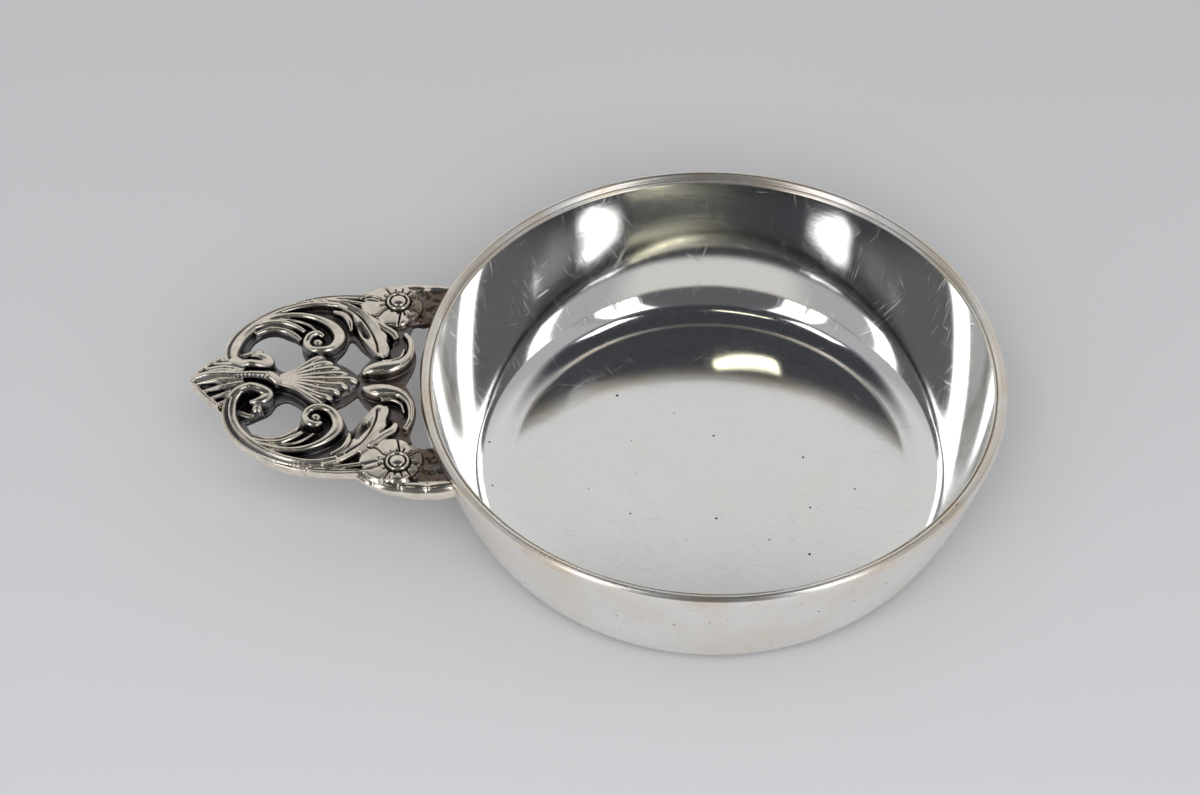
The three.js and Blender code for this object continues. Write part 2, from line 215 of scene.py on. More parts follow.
def smooth_by_angle(piece: Piece, degrees: float) -> None:
    """Shade smooth, and keep edges sharper than an angle crisp.

    Args:
        piece: The mesh object.
        degrees: The angle above which an edge stays crisp.
    """
    activate(piece)
    bpy.ops.object.shade_smooth_by_angle(angle=math.radians(degrees))


def smooth_rows(rows: tuple[tuple[float, ...], ...], steps: int) -> np.ndarray:
    """Draw a centripetal Catmull-Rom curve through rows of numbers.

    Args:
        rows: The rows, whose first two numbers are a place.
        steps: Pieces between two neighbouring rows.

    Returns:
        One row for each point of the curve.
    """
    points = np.array(rows, float)
    padded = np.vstack([2 * points[0] - points[1], points, 2 * points[-1] - points[-2]])
    spans = np.sqrt(np.linalg.norm(np.diff(padded[:, :2], axis=0), axis=1))
    result = []
    for start in range(1, len(padded) - 2):
        before, here, after, beyond = padded[start - 1:start + 3]
        lead, span, trail = spans[start - 1:start + 2]
        chord = after - here
        leave = chord + span * ((here - before) / lead - (after - before) / (lead + span))
        arrive = chord + span * ((beyond - after) / trail - (beyond - here) / (span + trail))
        for step in range(steps):
            t = step / steps
            result.append(
                (2 * t**3 - 3 * t**2 + 1) * here + (t**3 - 2 * t**2 + t) * leave
                + (3 * t**2 - 2 * t**3) * after + (t**3 - t**2) * arrive
            )
    result.append(points[-1])
    return np.array(result)


def smoothstep(values: np.ndarray, low: float, high: float) -> np.ndarray:
    """Blend from 0 at low to 1 at high, with soft ends.

    Args:
        values: The values to blend.
        low: Where the blend starts.
        high: Where it ends.

    Returns:
        The blended values.
    """
    share = np.clip((values - low) / (high - low), 0, 1)
    return share * share * (3 - 2 * share)


def corners(piece: Piece) -> np.ndarray:
    """Read a mesh's corner positions as rows of X, Y and Z."""
    flat = np.empty(len(piece.data.vertices) * 3)
    piece.data.vertices.foreach_get("co", flat)
    return flat.reshape(-1, 3)


def corner_normals(piece: Piece) -> np.ndarray:
    """Read a mesh's corner normals as rows of X, Y and Z."""
    flat = np.empty(len(piece.data.vertices) * 3)
    piece.data.vertices.foreach_get("normal", flat)
    return flat.reshape(-1, 3)


def move_corners(piece: Piece, points: np.ndarray) -> None:
    """Write new corner positions into a mesh.

    Args:
        piece: The mesh object.
        points: Rows of X, Y and Z, one for each corner.
    """
    piece.data.vertices.foreach_set("co", points.ravel())
    piece.data.update()


def mark(piece: Piece, name: str, values: np.ndarray) -> None:
    """Store a number on each corner, for a material to read.

    Args:
        piece: The mesh object.
        name: Name of the attribute.
        values: The number for each corner.
    """
    attribute = piece.data.attributes.new(name, "FLOAT", "POINT")
    attribute.data.foreach_set("value", values.astype(float))


def add_node(
    tree: bpy.types.NodeTree,
    kind: str,
    inputs: dict[str | int, object] | None = None,
    **settings: object,
) -> bpy.types.Node:
    """Add one node with its settings, its input values and its links.

    Args:
        tree: The node tree.
        kind: Blender's name for the type of node, without the word ShaderNode.
        inputs: A value or an output socket for each input, by name or number.
        **settings: Properties of the node.

    Returns:
        The new node.
    """
    node = tree.nodes.new("ShaderNode" + kind)
    for name, value in settings.items():
        setattr(node, name, value)
    for name, value in (inputs or {}).items():
        if isinstance(value, bpy.types.NodeSocket):
            tree.links.new(value, node.inputs[name])
        else:
            node.inputs[name].default_value = value
    return node


def ramp(node: bpy.types.Node, stops: Stops) -> bpy.types.NodeSocket:
    """Set the stops of a colour ramp.

    Args:
        node: The colour ramp node.
        stops: Place and hex colour of each stop.

    Returns:
        The ramp's colour output.
    """
    elements = node.color_ramp.elements
    while len(elements) < len(stops):
        elements.new(0.5)
    for element, (place, colour) in zip(elements, stops):
        element.position = place
        element.color = hex_to_linear(colour)
    return node.outputs["Color"]


# Finishes


def new_material(name: str) -> tuple[bpy.types.Material, bpy.types.NodeTree]:
    """Start an empty node material.

    Args:
        name: Name of the material.

    Returns:
        The material and its node tree.
    """
    material = bpy.data.materials.new(name)
    material.use_nodes = True
    material.node_tree.nodes.clear()
    return material, material.node_tree


def close_material(
    tree: bpy.types.NodeTree, height: bpy.types.NodeSocket, depth_mm: float,
    surface: dict[str, object], strength: float = 1.0,
) -> None:
    """End a material with its fine relief, its shader and its output.

    Args:
        tree: The node tree.
        height: Height of the relief, as a share of its depth.
        depth_mm: Depth of the relief.
        surface: The shader's values and links by name.
        strength: Share of the relief that shows.
    """
    bump = add_node(
        tree, "Bump", {"Strength": strength, "Distance": depth_mm * MM, "Height": height},
    )
    shader = add_node(tree, "BsdfPrincipled", {**surface, "Normal": bump.outputs[0]})
    add_node(tree, "OutputMaterial", {0: shader.outputs[0]})


@dataclass(frozen=True)
class BuffedSilver:
    """Sterling silver sheet or wire, spun and buffed to a near mirror.

    Buffing leaves hairlines that run round the axis. Spoons and washing up leave short straight
    scratches and a satin floor. Hands dull the outside and the rim, where air leaves a warm film
    of tarnish in soft patches, and salt leaves a few dark pits. Real hairlines and scratches are
    0.05 mm wide or less, too fine to show, so they are drawn as coarse as they need to be.
    """

    name: str
    silver: str = "#FBFBFA"
    film: str = "#F0E4D2"
    inside_film: float = 0.12
    outside_film: float = 0.62
    film_patch_mm: float = 14.0
    film_noise: Pair = (0.3, 0.65)
    pit: str = "#3A322B"
    # Painted shade: the dark tone of a thin line painted along the rim wire's crease. The pits and
    # that line are also rougher.
    painted_crease_shade: str = "#5E5044"
    pit_and_crease_roughness: float = 0.4
    roughness: float = 0.05
    floor_roughness: float = 0.1
    floor_mm: Pair = (9.0, 1.3)
    outside_roughness: float = 0.2
    hairline_mm: float = 0.25
    hairline_depth_mm: float = 0.0012
    hairline_unevenness: Pair = (0.7, 1.3)
    scratch_mm: float = 0.17
    scratch_length: float = 45.0
    scratch_turns: tuple[float, ...] = (0.5, 1.35, 2.3)
    scratch_tilt: float = 0.3
    scratch_noise: Pair = (0.695, 0.79)
    scratch_roughness: float = 0.16
    scratch_depth: float = 1.6
    pit_spacing_mm: float = 9.0
    pit_radius_mm: float = 0.36
    pit_share: float = 0.5
    speck_spacing_mm: float = 3.4
    speck_radius_mm: float = 0.5
    speck_darkness: float = 0.5
    smallest_spot: float = 0.2
    spot_edge: float = 0.3
    mask: str = "outside"
    # The attribute that marks where the crease shade is painted.
    painted_crease_shade_mask: str = "painted_crease_shade"

    def material(self) -> bpy.types.Material:
        """Build the node material.

        Returns:
            The new material.
        """
        material, tree = new_material(self.name)
        place = add_node(tree, "TexCoord").outputs["Object"]
        split = add_node(tree, "SeparateXYZ", {0: place})
        outside = add_node(tree, "Attribute", attribute_name=self.mask).outputs["Fac"]
        crease_shaded = add_node(tree, "Attribute", attribute_name=self.painted_crease_shade_mask).outputs["Fac"]
        hairlines = self.hairlines(tree, split)
        scratches = self.scratches(tree, place)
        low, high = (height * MM for height in self.floor_mm)
        floor = add_node(
            tree, "MapRange", {"Value": split.outputs[2], "From Min": low, "From Max": high},
        ).outputs[0]
        pits = self.pits(tree, place, floor, outside)
        on_floor = add_node(
            tree, "Mix", {"Factor": floor, 2: self.roughness, 3: self.floor_roughness},
        )
        dull = add_node(
            tree, "Mix",
            {"Factor": outside, 2: on_floor.outputs[0], 3: self.outside_roughness},
        )
        least, most = self.hairline_unevenness
        uneven = add_node(
            tree, "MapRange", {"Value": hairlines, "To Min": least, "To Max": most},
        )
        streaked = add_node(
            tree, "Math", {0: dull.outputs[0], 1: uneven.outputs[0]}, operation="MULTIPLY",
        )
        worn = add_node(
            tree, "Math", {0: scratches, 1: self.scratch_roughness, 2: streaked.outputs[0]},
            operation="MULTIPLY_ADD",
        )
        # Roughness rises in the pits and in the crease where shade is painted.
        pits_and_crease_shade = add_node(tree, "Math", {0: pits, 1: crease_shaded}, operation="MAXIMUM")
        rough = add_node(
            tree, "Math", {0: pits_and_crease_shade.outputs[0], 1: self.pit_and_crease_roughness, 2: worn.outputs[0]},
            operation="MULTIPLY_ADD",
        )
        relief = add_node(
            tree, "Math", {0: scratches, 1: -self.scratch_depth, 2: hairlines},
            operation="MULTIPLY_ADD",
        )
        close_material(tree, relief.outputs[0], self.hairline_depth_mm, {
            "Base Color": self.tone(tree, place, outside, pits, crease_shaded),
            "Metallic": 1.0,
            "Roughness": rough.outputs[0],
        })
        return material

    def tone(
        self, tree: bpy.types.NodeTree, place: bpy.types.NodeSocket,
        outside: bpy.types.NodeSocket, pits: bpy.types.NodeSocket, crease_shaded: bpy.types.NodeSocket,
    ) -> bpy.types.NodeSocket:
        """Mix the clean silver, its warm film, the dark pits and the painted crease shade.

        Args:
            tree: The node tree.
            place: The object coordinates.
            outside: 1 outside the bowl and on the rim, 0 inside.
            pits: 1 in a pit.
            crease_shaded: 1 in the wire's crease, where a dark line of shade is painted.

        Returns:
            The colour socket.
        """
        patches = add_node(
            tree, "TexNoise",
            {"Vector": place, "Scale": 1 / (self.film_patch_mm * MM), "Detail": 4.0,
             "Roughness": 0.6},
        )
        most = add_node(
            tree, "Mix", {"Factor": outside, 2: self.inside_film, 3: self.outside_film},
        )
        low, high = self.film_noise
        film = add_node(
            tree, "MapRange",
            {"Value": patches.outputs["Fac"], "From Min": low, "From Max": high,
             "To Max": most.outputs[0]},
        )
        clean = add_node(
            tree, "Mix",
            {"Factor": film.outputs[0], 6: hex_to_linear(self.silver), 7: hex_to_linear(self.film)},
            data_type="RGBA",
        )
        pitted = add_node(
            tree, "Mix", {"Factor": pits, 6: clean.outputs[2], 7: hex_to_linear(self.pit)},
            data_type="RGBA",
        )
        # Painted shade: this darkens the colour along the rim wire's crease.
        return add_node(
            tree, "Mix", {"Factor": crease_shaded, 6: pitted.outputs[2], 7: hex_to_linear(self.painted_crease_shade)},
            data_type="RGBA",
        ).outputs[2]

    def hairlines(
        self, tree: bpy.types.NodeTree, split: bpy.types.Node,
    ) -> bpy.types.NodeSocket:
        """Draw the buffing lines, which run round the axis.

        Args:
            tree: The node tree.
            split: The node that splits the object coordinates.

        Returns:
            A noise socket that changes quickly across the lines and slowly along them.
        """
        flat = add_node(tree, "CombineXYZ", {0: split.outputs[0], 1: split.outputs[1]})
        radius = add_node(tree, "VectorMath", {0: flat.outputs[0]}, operation="LENGTH")
        around = add_node(tree, "VectorMath", {0: flat.outputs[0]}, operation="NORMALIZE")
        lift = add_node(tree, "CombineXYZ", {2: split.outputs[2]})
        per_line = 1 / (self.hairline_mm * MM)
        stretched = add_node(
            tree, "VectorMath", {0: lift.outputs[0], 1: (per_line,) * 3, 2: around.outputs[0]},
            operation="MULTIPLY_ADD",
        )
        across = add_node(
            tree, "Math", {0: radius.outputs["Value"], 1: per_line}, operation="MULTIPLY",
        )
        return add_node(
            tree, "TexNoise",
            {"Vector": stretched.outputs[0], "W": across.outputs[0], "Scale": 1.0, "Detail": 3.0},
            noise_dimensions="4D",
        ).outputs["Fac"]

    def scratches(
        self, tree: bpy.types.NodeTree, place: bpy.types.NodeSocket,
    ) -> bpy.types.NodeSocket:
        """Lay sparse straight scratches in three directions.

        Args:
            tree: The node tree.
            place: The object coordinates.

        Returns:
            A socket that is 1 on a scratch and 0 elsewhere.
        """
        narrow = self.scratch_mm * MM
        long = self.scratch_length * narrow
        low, high = self.scratch_noise
        total: bpy.types.NodeSocket | float = 0.0
        for seed, turn in enumerate(self.scratch_turns):
            turned_place = add_node(
                tree, "Mapping",
                {"Vector": place, "Location": (seed, seed, 0),
                 "Rotation": (self.scratch_tilt * seed, 0, turn), "Scale": (narrow, long, long)},
                vector_type="TEXTURE",
            )
            streaks = add_node(
                tree, "TexNoise", {"Vector": turned_place.outputs[0], "Scale": 1.0, "Detail": 1.0},
            )
            line = add_node(
                tree, "MapRange",
                {"Value": streaks.outputs["Fac"], "From Min": low, "From Max": high},
            )
            total = add_node(
                tree, "Math", {0: total, 1: line.outputs[0]}, operation="MAXIMUM",
            ).outputs[0]
        return total

    def pits(
        self, tree: bpy.types.NodeTree, place: bpy.types.NodeSocket,
        floor: bpy.types.NodeSocket, outside: bpy.types.NodeSocket,
    ) -> bpy.types.NodeSocket:
        """Scatter dark corrosion pits on the floor and fine specks outside.

        Args:
            tree: The node tree.
            place: The object coordinates.
            floor: 1 on the bowl's floor, 0 on its wall.
            outside: 1 outside the bowl, 0 inside.

        Returns:
            A socket that is 1 in a pit, less in a speck and 0 elsewhere.
        """
        flat = self.spots(tree, place, self.pit_spacing_mm, self.pit_radius_mm, "2D")
        deep = self.spots(tree, place, self.speck_spacing_mm, self.speck_radius_mm, "3D")
        on_floor = add_node(tree, "Math", {0: flat, 1: floor}, operation="MULTIPLY")
        faint = add_node(tree, "Math", {0: deep, 1: self.speck_darkness}, operation="MULTIPLY")
        return add_node(
            tree, "Mix", {"Factor": outside, 2: on_floor.outputs[0], 3: faint.outputs[0]},
        ).outputs[0]

    def spots(
        self, tree: bpy.types.NodeTree, place: bpy.types.NodeSocket,
        spacing_mm: float, radius_mm: float, dimensions: str,
    ) -> bpy.types.NodeSocket:
        """Scatter round spots, one at most in each cell of a Voronoi pattern.

        Args:
            tree: The node tree.
            place: The object coordinates.
            spacing_mm: Size of a cell.
            radius_mm: Radius of the largest spot.
            dimensions: "2D" for cells seen from above, "3D" for cells in space.

        Returns:
            A socket that is 1 in a spot and 0 elsewhere.
        """
        cells = add_node(
            tree, "TexVoronoi",
            {"Vector": place, "Scale": 1 / (spacing_mm * MM), "Randomness": 1.0},
            voronoi_dimensions=dimensions,
        )
        pick = add_node(tree, "SeparateColor", {0: cells.outputs["Color"]})
        largest = radius_mm / spacing_mm
        reach = add_node(
            tree, "MapRange",
            {"Value": pick.outputs[0], "From Max": self.pit_share,
             "To Min": largest, "To Max": self.smallest_spot * largest},
        )
        inside = add_node(
            tree, "Math", {0: reach.outputs[0], 1: cells.outputs["Distance"]},
            operation="SUBTRACT",
        )
        spot = add_node(
            tree, "MapRange", {"Value": inside.outputs[0], "From Max": self.spot_edge * largest},
        )
        few = add_node(
            tree, "Math", {0: pick.outputs[0], 1: self.pit_share}, operation="LESS_THAN",
        )
        return add_node(
            tree, "Math", {0: spot.outputs[0], 1: few.outputs[0]}, operation="MULTIPLY",
        ).outputs[0]


@dataclass(frozen=True)
class CastSilver:
    """Cast sterling silver, oxidised all over and then buffed.

    The wheel reaches the tops, which turn bright and warm, and the black oxide stays in the
    recesses, where the skin keeps the grain of the mould, drawn about three times as coarse as
    real sand so that it shows.
    """

    name: str = "cast_silver"
    bright: str = "#FFF5E6"
    worn: str = "#BDAF9C"
    worn_from: float = 0.45
    worn_to: float = 0.9
    oxide: str = "#858486"
    brown: str = "#75655A"
    crease: str = "#242120"
    bright_roughness: float = 0.2
    oxide_roughness: float = 0.33
    grain_mm: float = 0.35
    grain_depth_mm: float = 0.03
    blotch_mm: float = 2.5
    raggedness: float = 0.3
    oxide_mask: Pair = (0.22, 0.62)
    mottle_noise: Pair = (0.35, 0.75)
    mottle: float = 0.25
    brown_mm: Pair = (-86.0, -55.0)
    brown_shift: Pair = (-0.15, 0.09)
    brown_noise: Pair = (0.4, 0.62)
    crease_mask: Pair = (0.84, 1.0)
    crease_share: float = 0.9
    mask: str = "recess"

    def material(self) -> bpy.types.Material:
        """Build the node material.

        Returns:
            The new material.
        """
        material, tree = new_material(self.name)
        place = add_node(tree, "TexCoord").outputs["Object"]
        mask = add_node(tree, "Attribute", attribute_name=self.mask).outputs["Fac"]
        blotches = add_node(
            tree, "TexNoise",
            {"Vector": place, "Scale": 1 / (self.blotch_mm * MM), "Detail": 6.0, "Roughness": 0.7},
        ).outputs["Fac"]
        grain = add_node(
            tree, "TexNoise", {"Vector": place, "Scale": 1 / (self.grain_mm * MM), "Detail": 4.0},
        )
        ragged = add_node(tree, "Math", {0: blotches, 1: 0.5}, operation="SUBTRACT")
        edge = add_node(
            tree, "Math", {0: ragged.outputs[0], 1: self.raggedness, 2: mask},
            operation="MULTIPLY_ADD",
        )
        low, high = self.oxide_mask
        oxide = add_node(
            tree, "MapRange", {"Value": edge.outputs[0], "From Min": low, "From Max": high},
        ).outputs[0]
        rough = add_node(
            tree, "MapRange",
            {"Value": oxide, "To Min": self.bright_roughness, "To Max": self.oxide_roughness},
        )
        relief = add_node(
            tree, "Math", {0: grain.outputs["Fac"], 1: oxide}, operation="MULTIPLY",
        )
        colour = add_node(
            tree, "Mix",
            {"Factor": oxide, 6: self.tops(tree, blotches, oxide),
             7: self.recesses(tree, place, blotches, mask)},
            data_type="RGBA",
        )
        close_material(tree, relief.outputs[0], self.grain_depth_mm, {
            "Base Color": colour.outputs[2],
            "Metallic": 1.0,
            "Roughness": rough.outputs[0],
        })
        return material

    def tops(
        self, tree: bpy.types.NodeTree, blotches: bpy.types.NodeSocket,
        oxide: bpy.types.NodeSocket,
    ) -> bpy.types.NodeSocket:
        """Mix the bright tops with the worn silver beside the oxide and in faint blotches.

        Args:
            tree: The node tree.
            blotches: A soft noise.
            oxide: 1 where the oxide stays, 0 on the tops.

        Returns:
            The colour socket.
        """
        low, high = self.mottle_noise
        mottled = add_node(
            tree, "MapRange",
            {"Value": blotches, "From Min": low, "From Max": high, "To Max": self.mottle},
        )
        shown = add_node(tree, "Math", {0: oxide, 1: mottled.outputs[0]}, operation="MAXIMUM")
        return ramp(
            add_node(tree, "ValToRGB", {0: shown.outputs[0]}),
            ((0.0, self.bright), (self.worn_from, self.worn), (self.worn_to, self.worn)),
        )

    def recesses(
        self, tree: bpy.types.NodeTree, place: bpy.types.NodeSocket,
        blotches: bpy.types.NodeSocket, mask: bpy.types.NodeSocket,
    ) -> bpy.types.NodeSocket:
        """Mix the grey oxide, which turns brown towards the bowl, and the near black creases.

        Args:
            tree: The node tree.
            place: The object coordinates.
            blotches: A soft noise.
            mask: How far a place is shut in by its surroundings.

        Returns:
            The colour socket.
        """
        along = add_node(tree, "SeparateXYZ", {0: place})
        far, near = (edge_mm * MM for edge_mm in self.brown_mm)
        less, more = self.brown_shift
        to_bowl = add_node(
            tree, "MapRange",
            {"Value": along.outputs[0], "From Min": far, "From Max": near, "To Min": less,
             "To Max": more},
        )
        rust = add_node(tree, "Math", {0: blotches, 1: to_bowl.outputs[0]}, operation="ADD")
        low, high = self.brown_noise
        browned = add_node(
            tree, "MapRange", {"Value": rust.outputs[0], "From Min": low, "From Max": high},
        )
        dark = add_node(
            tree, "Mix",
            {"Factor": browned.outputs[0], 6: hex_to_linear(self.oxide),
             7: hex_to_linear(self.brown)},
            data_type="RGBA",
        )
        low, high = self.crease_mask
        deep = add_node(
            tree, "MapRange",
            {"Value": mask, "From Min": low, "From Max": high, "To Max": self.crease_share},
        )
        return add_node(
            tree, "Mix",
            {"Factor": deep.outputs[0], 6: dark.outputs[2], 7: hex_to_linear(self.crease)},
            data_type="RGBA",
        ).outputs[2]


@dataclass(frozen=True)
class HardSolder:
    """Hard silver solder as the torch left it: a dull grey skin with fine ripples."""

    name: str = "solder_seam"
    skin: Stops = ((0.35, "#6E665D"), (0.65, "#B9B5AE"))
    roughness: float = 0.38
    patch_mm: float = 0.9
    ripple_mm: float = 0.4
    ripple_depth_mm: float = 0.02

    def material(self) -> bpy.types.Material:
        """Build the node material.

        Returns:
            The new material.
        """
        material, tree = new_material(self.name)
        place = add_node(tree, "TexCoord").outputs["Object"]
        patches = add_node(
            tree, "TexNoise", {"Vector": place, "Scale": 1 / (self.patch_mm * MM), "Detail": 4.0},
        )
        tone = ramp(add_node(tree, "ValToRGB", {0: patches.outputs["Fac"]}), self.skin)
        ripples = add_node(
            tree, "TexNoise", {"Vector": place, "Scale": 1 / (self.ripple_mm * MM), "Detail": 2.0},
        )
        close_material(tree, ripples.outputs["Fac"], self.ripple_depth_mm, {
            "Base Color": tone,
            "Metallic": 1.0,
            "Roughness": self.roughness,
        })
        return material


@dataclass(frozen=True)
class TablePaper:
    """Matt pale grey paper over a table: a plain ground with no gloss and a faint fibre."""

    name: str = "table_paper"
    tone: str = "#BBBBBC"
    roughness: float = 0.95
    specular: float = 0.1
    fibre_mm: float = 3.0
    fibre_depth_mm: float = 0.05
    fibre_strength: float = 0.15

    def material(self) -> bpy.types.Material:
        """Build the node material.

        Returns:
            The new material.
        """
        material, tree = new_material(self.name)
        place = add_node(tree, "TexCoord").outputs["Object"]
        fibres = add_node(
            tree, "TexNoise", {"Vector": place, "Scale": 1 / (self.fibre_mm * MM), "Detail": 3.0},
        )
        close_material(tree, fibres.outputs["Fac"], self.fibre_depth_mm, {
            "Base Color": hex_to_linear(self.tone),
            "Roughness": self.roughness,
            "Specular IOR Level": self.specular,
        }, self.fibre_strength)
        return material


# Studio


def direction(around_deg: float, above_deg: float) -> Vector:
    """Point from the bowl into the room.

    Args:
        around_deg: Angle round the table, 0 at -Y and turning towards +X.
        above_deg: Angle above the table.

    Returns:
        The direction, with a length of 1.
    """
    around, above = math.radians(around_deg), math.radians(above_deg)
    return Vector((
        math.sin(around) * math.cos(above),
        -math.cos(around) * math.cos(above),
        math.sin(above),
    ))


@dataclass(frozen=True)
class SoftBox:
    """One rectangular studio lamp behind white cloth. A radiance of 1 looks white."""

    name: str
    around_deg: float
    above_deg: float
    size_m: Pair
    radiance: float
    colour: str = "#FAFCFF"
    distance_m: float = 1.6
    in_metal: bool = True


@dataclass
class Studio:
    """Camera, pale floor and soft light.

    The camera stands where a pinhole camera fitted to the rim, the base and the handle stands.
    The walls are tones from the camera's side, 0, round to the far side, 1.
    """

    lens_mm: float = 120.0
    sensor_mm: float = 36.0
    distance_mm: float = 786.66
    around_deg: float = -2.15
    above_deg: float = 47.40
    roll_deg: float = 0.66
    target_mm: tuple[float, float, float] = (-21.82, 4.43, 20.0)
    floor_m: float = 6.0
    floor_drop_mm: float = 0.02
    walls: Stops = ((0.08, "#5A5B5E"), (0.24, "#A9ABAE"), (0.6, "#A9ABAE"), (0.8, "#CECFCF"))
    ceiling: str = "#383A3F"
    ceiling_from_deg: float = 50.0
    ceiling_to_deg: float = 60.0
    sky: str = "#F7F7F8"
    sky_strength: float = 0.58
    clip_start_m: float = 0.01
    soft_boxes: tuple[SoftBox, ...] = (
        SoftBox("tall_right_near", 34, 26, (0.26, 1.5), 1.8),
        SoftBox("tall_right_far", 44.5, 26, (0.22, 1.5), 1.8),
        SoftBox("tall_left_near", -38, 26, (0.26, 1.5), 1.8),
        SoftBox("tall_left_far", -48.5, 26, (0.22, 1.5), 1.8),
        SoftBox("high_right", 74, 64.5, (0.46, 0.2), 2.2),
        SoftBox("high_left", -74, 63.5, (0.46, 0.2), 2.2),
        SoftBox("warm_strip", -31, 76.5, (0.36, 0.07), 2.4, "#FFFCE0"),
        SoftBox("key", -4, 48, (0.5, 0.5), 7.5, distance_m=0.9, in_metal=False),
    )

    def place_camera(self) -> None:
        """Add the camera and make it the scene's own."""
        back = direction(self.around_deg, self.above_deg)
        right = Vector((0, 0, 1)).cross(back).normalized()
        up = back.cross(right)
        turn = Matrix((right, up, back)).transposed() @ Matrix.Rotation(
            math.radians(self.roll_deg), 3, "Z",
        )
        spot = Vector(self.target_mm) * MM + back * self.distance_mm * MM
        bpy.ops.object.camera_add(location=spot, rotation=turn.to_euler())
        camera = bpy.context.object
        camera.name = "camera"
        camera.data.lens = self.lens_mm
        camera.data.sensor_width = self.sensor_mm
        camera.data.clip_start = self.clip_start_m
        bpy.context.scene.camera = camera

    def lay_floor(self) -> None:
        """Add the pale floor just under the bowl."""
        bpy.ops.mesh.primitive_plane_add(
            size=self.floor_m, location=(0, 0, -self.floor_drop_mm * MM),
        )
        floor = bpy.context.object
        floor.name = "floor"
        floor.data.materials.append(TablePaper().material())

    def hang(self, box: SoftBox) -> None:
        """Hang one soft box so that it looks at the bowl.

        Args:
            box: Where it hangs, its size and its light.
        """
        back = direction(box.around_deg, box.above_deg)
        bpy.ops.object.light_add(
            type="AREA",
            location=back * box.distance_m,
            rotation=back.to_track_quat("Z", "Y").to_euler(),
        )
        lamp = bpy.context.object
        lamp.name = box.name
        lamp.data.shape = "RECTANGLE"
        lamp.data.size, lamp.data.size_y = box.size_m
        lamp.data.energy = box.radiance * math.pi * box.size_m[0] * box.size_m[1]
        lamp.data.color = hex_to_linear(box.colour)[:3]
        lamp.visible_glossy = box.in_metal

    def light(self) -> None:
        """Hang the soft boxes and set the room round them."""
        for box in self.soft_boxes:
            self.hang(box)
        self.room()
        bpy.context.scene.view_settings.view_transform = "Standard"

    def room(self) -> None:
        """Set the world: plain pale light, and for the metal a pale room.

        The metal sees a pale wall behind the bowl, greyer walls at the sides, a dim wall on the
        camera's side and a dark ceiling.
        """
        world = bpy.data.worlds.new("room")
        bpy.context.scene.world = world
        world.use_nodes = True
        tree = world.node_tree
        tree.nodes.clear()
        look = add_node(tree, "TexCoord").outputs["Generated"]
        split = add_node(tree, "SeparateXYZ", {0: look})
        level = add_node(tree, "CombineXYZ", {0: split.outputs[0], 1: split.outputs[1]})
        compass = add_node(tree, "VectorMath", {0: level.outputs[0]}, operation="NORMALIZE")
        behind = add_node(tree, "SeparateXYZ", {0: compass.outputs[0]})
        place = add_node(
            tree, "MapRange", {"Value": behind.outputs[1], "From Min": -1.0, "From Max": 1.0},
        )
        walls = ramp(add_node(tree, "ValToRGB", {0: place.outputs[0]}), self.walls)
        above = add_node(
            tree, "MapRange",
            {"Value": split.outputs[2],
             "From Min": math.sin(math.radians(self.ceiling_from_deg)),
             "From Max": math.sin(math.radians(self.ceiling_to_deg))},
            interpolation_type="SMOOTHSTEP",
        )
        shade = add_node(
            tree, "Mix", {"Factor": above.outputs[0], 6: walls, 7: hex_to_linear(self.ceiling)},
            data_type="RGBA",
        )
        seen = add_node(tree, "Background", {"Color": shade.outputs[2], "Strength": 1.0})
        plain = add_node(
            tree, "Background",
            {"Color": hex_to_linear(self.sky), "Strength": self.sky_strength},
        )
        path = add_node(tree, "LightPath")
        mixed = add_node(
            tree, "MixShader",
            {0: path.outputs["Is Glossy Ray"], 1: plain.outputs[0], 2: seen.outputs[0]},
        )
        add_node(tree, "OutputWorld", {0: mixed.outputs[0]})


# The bowl


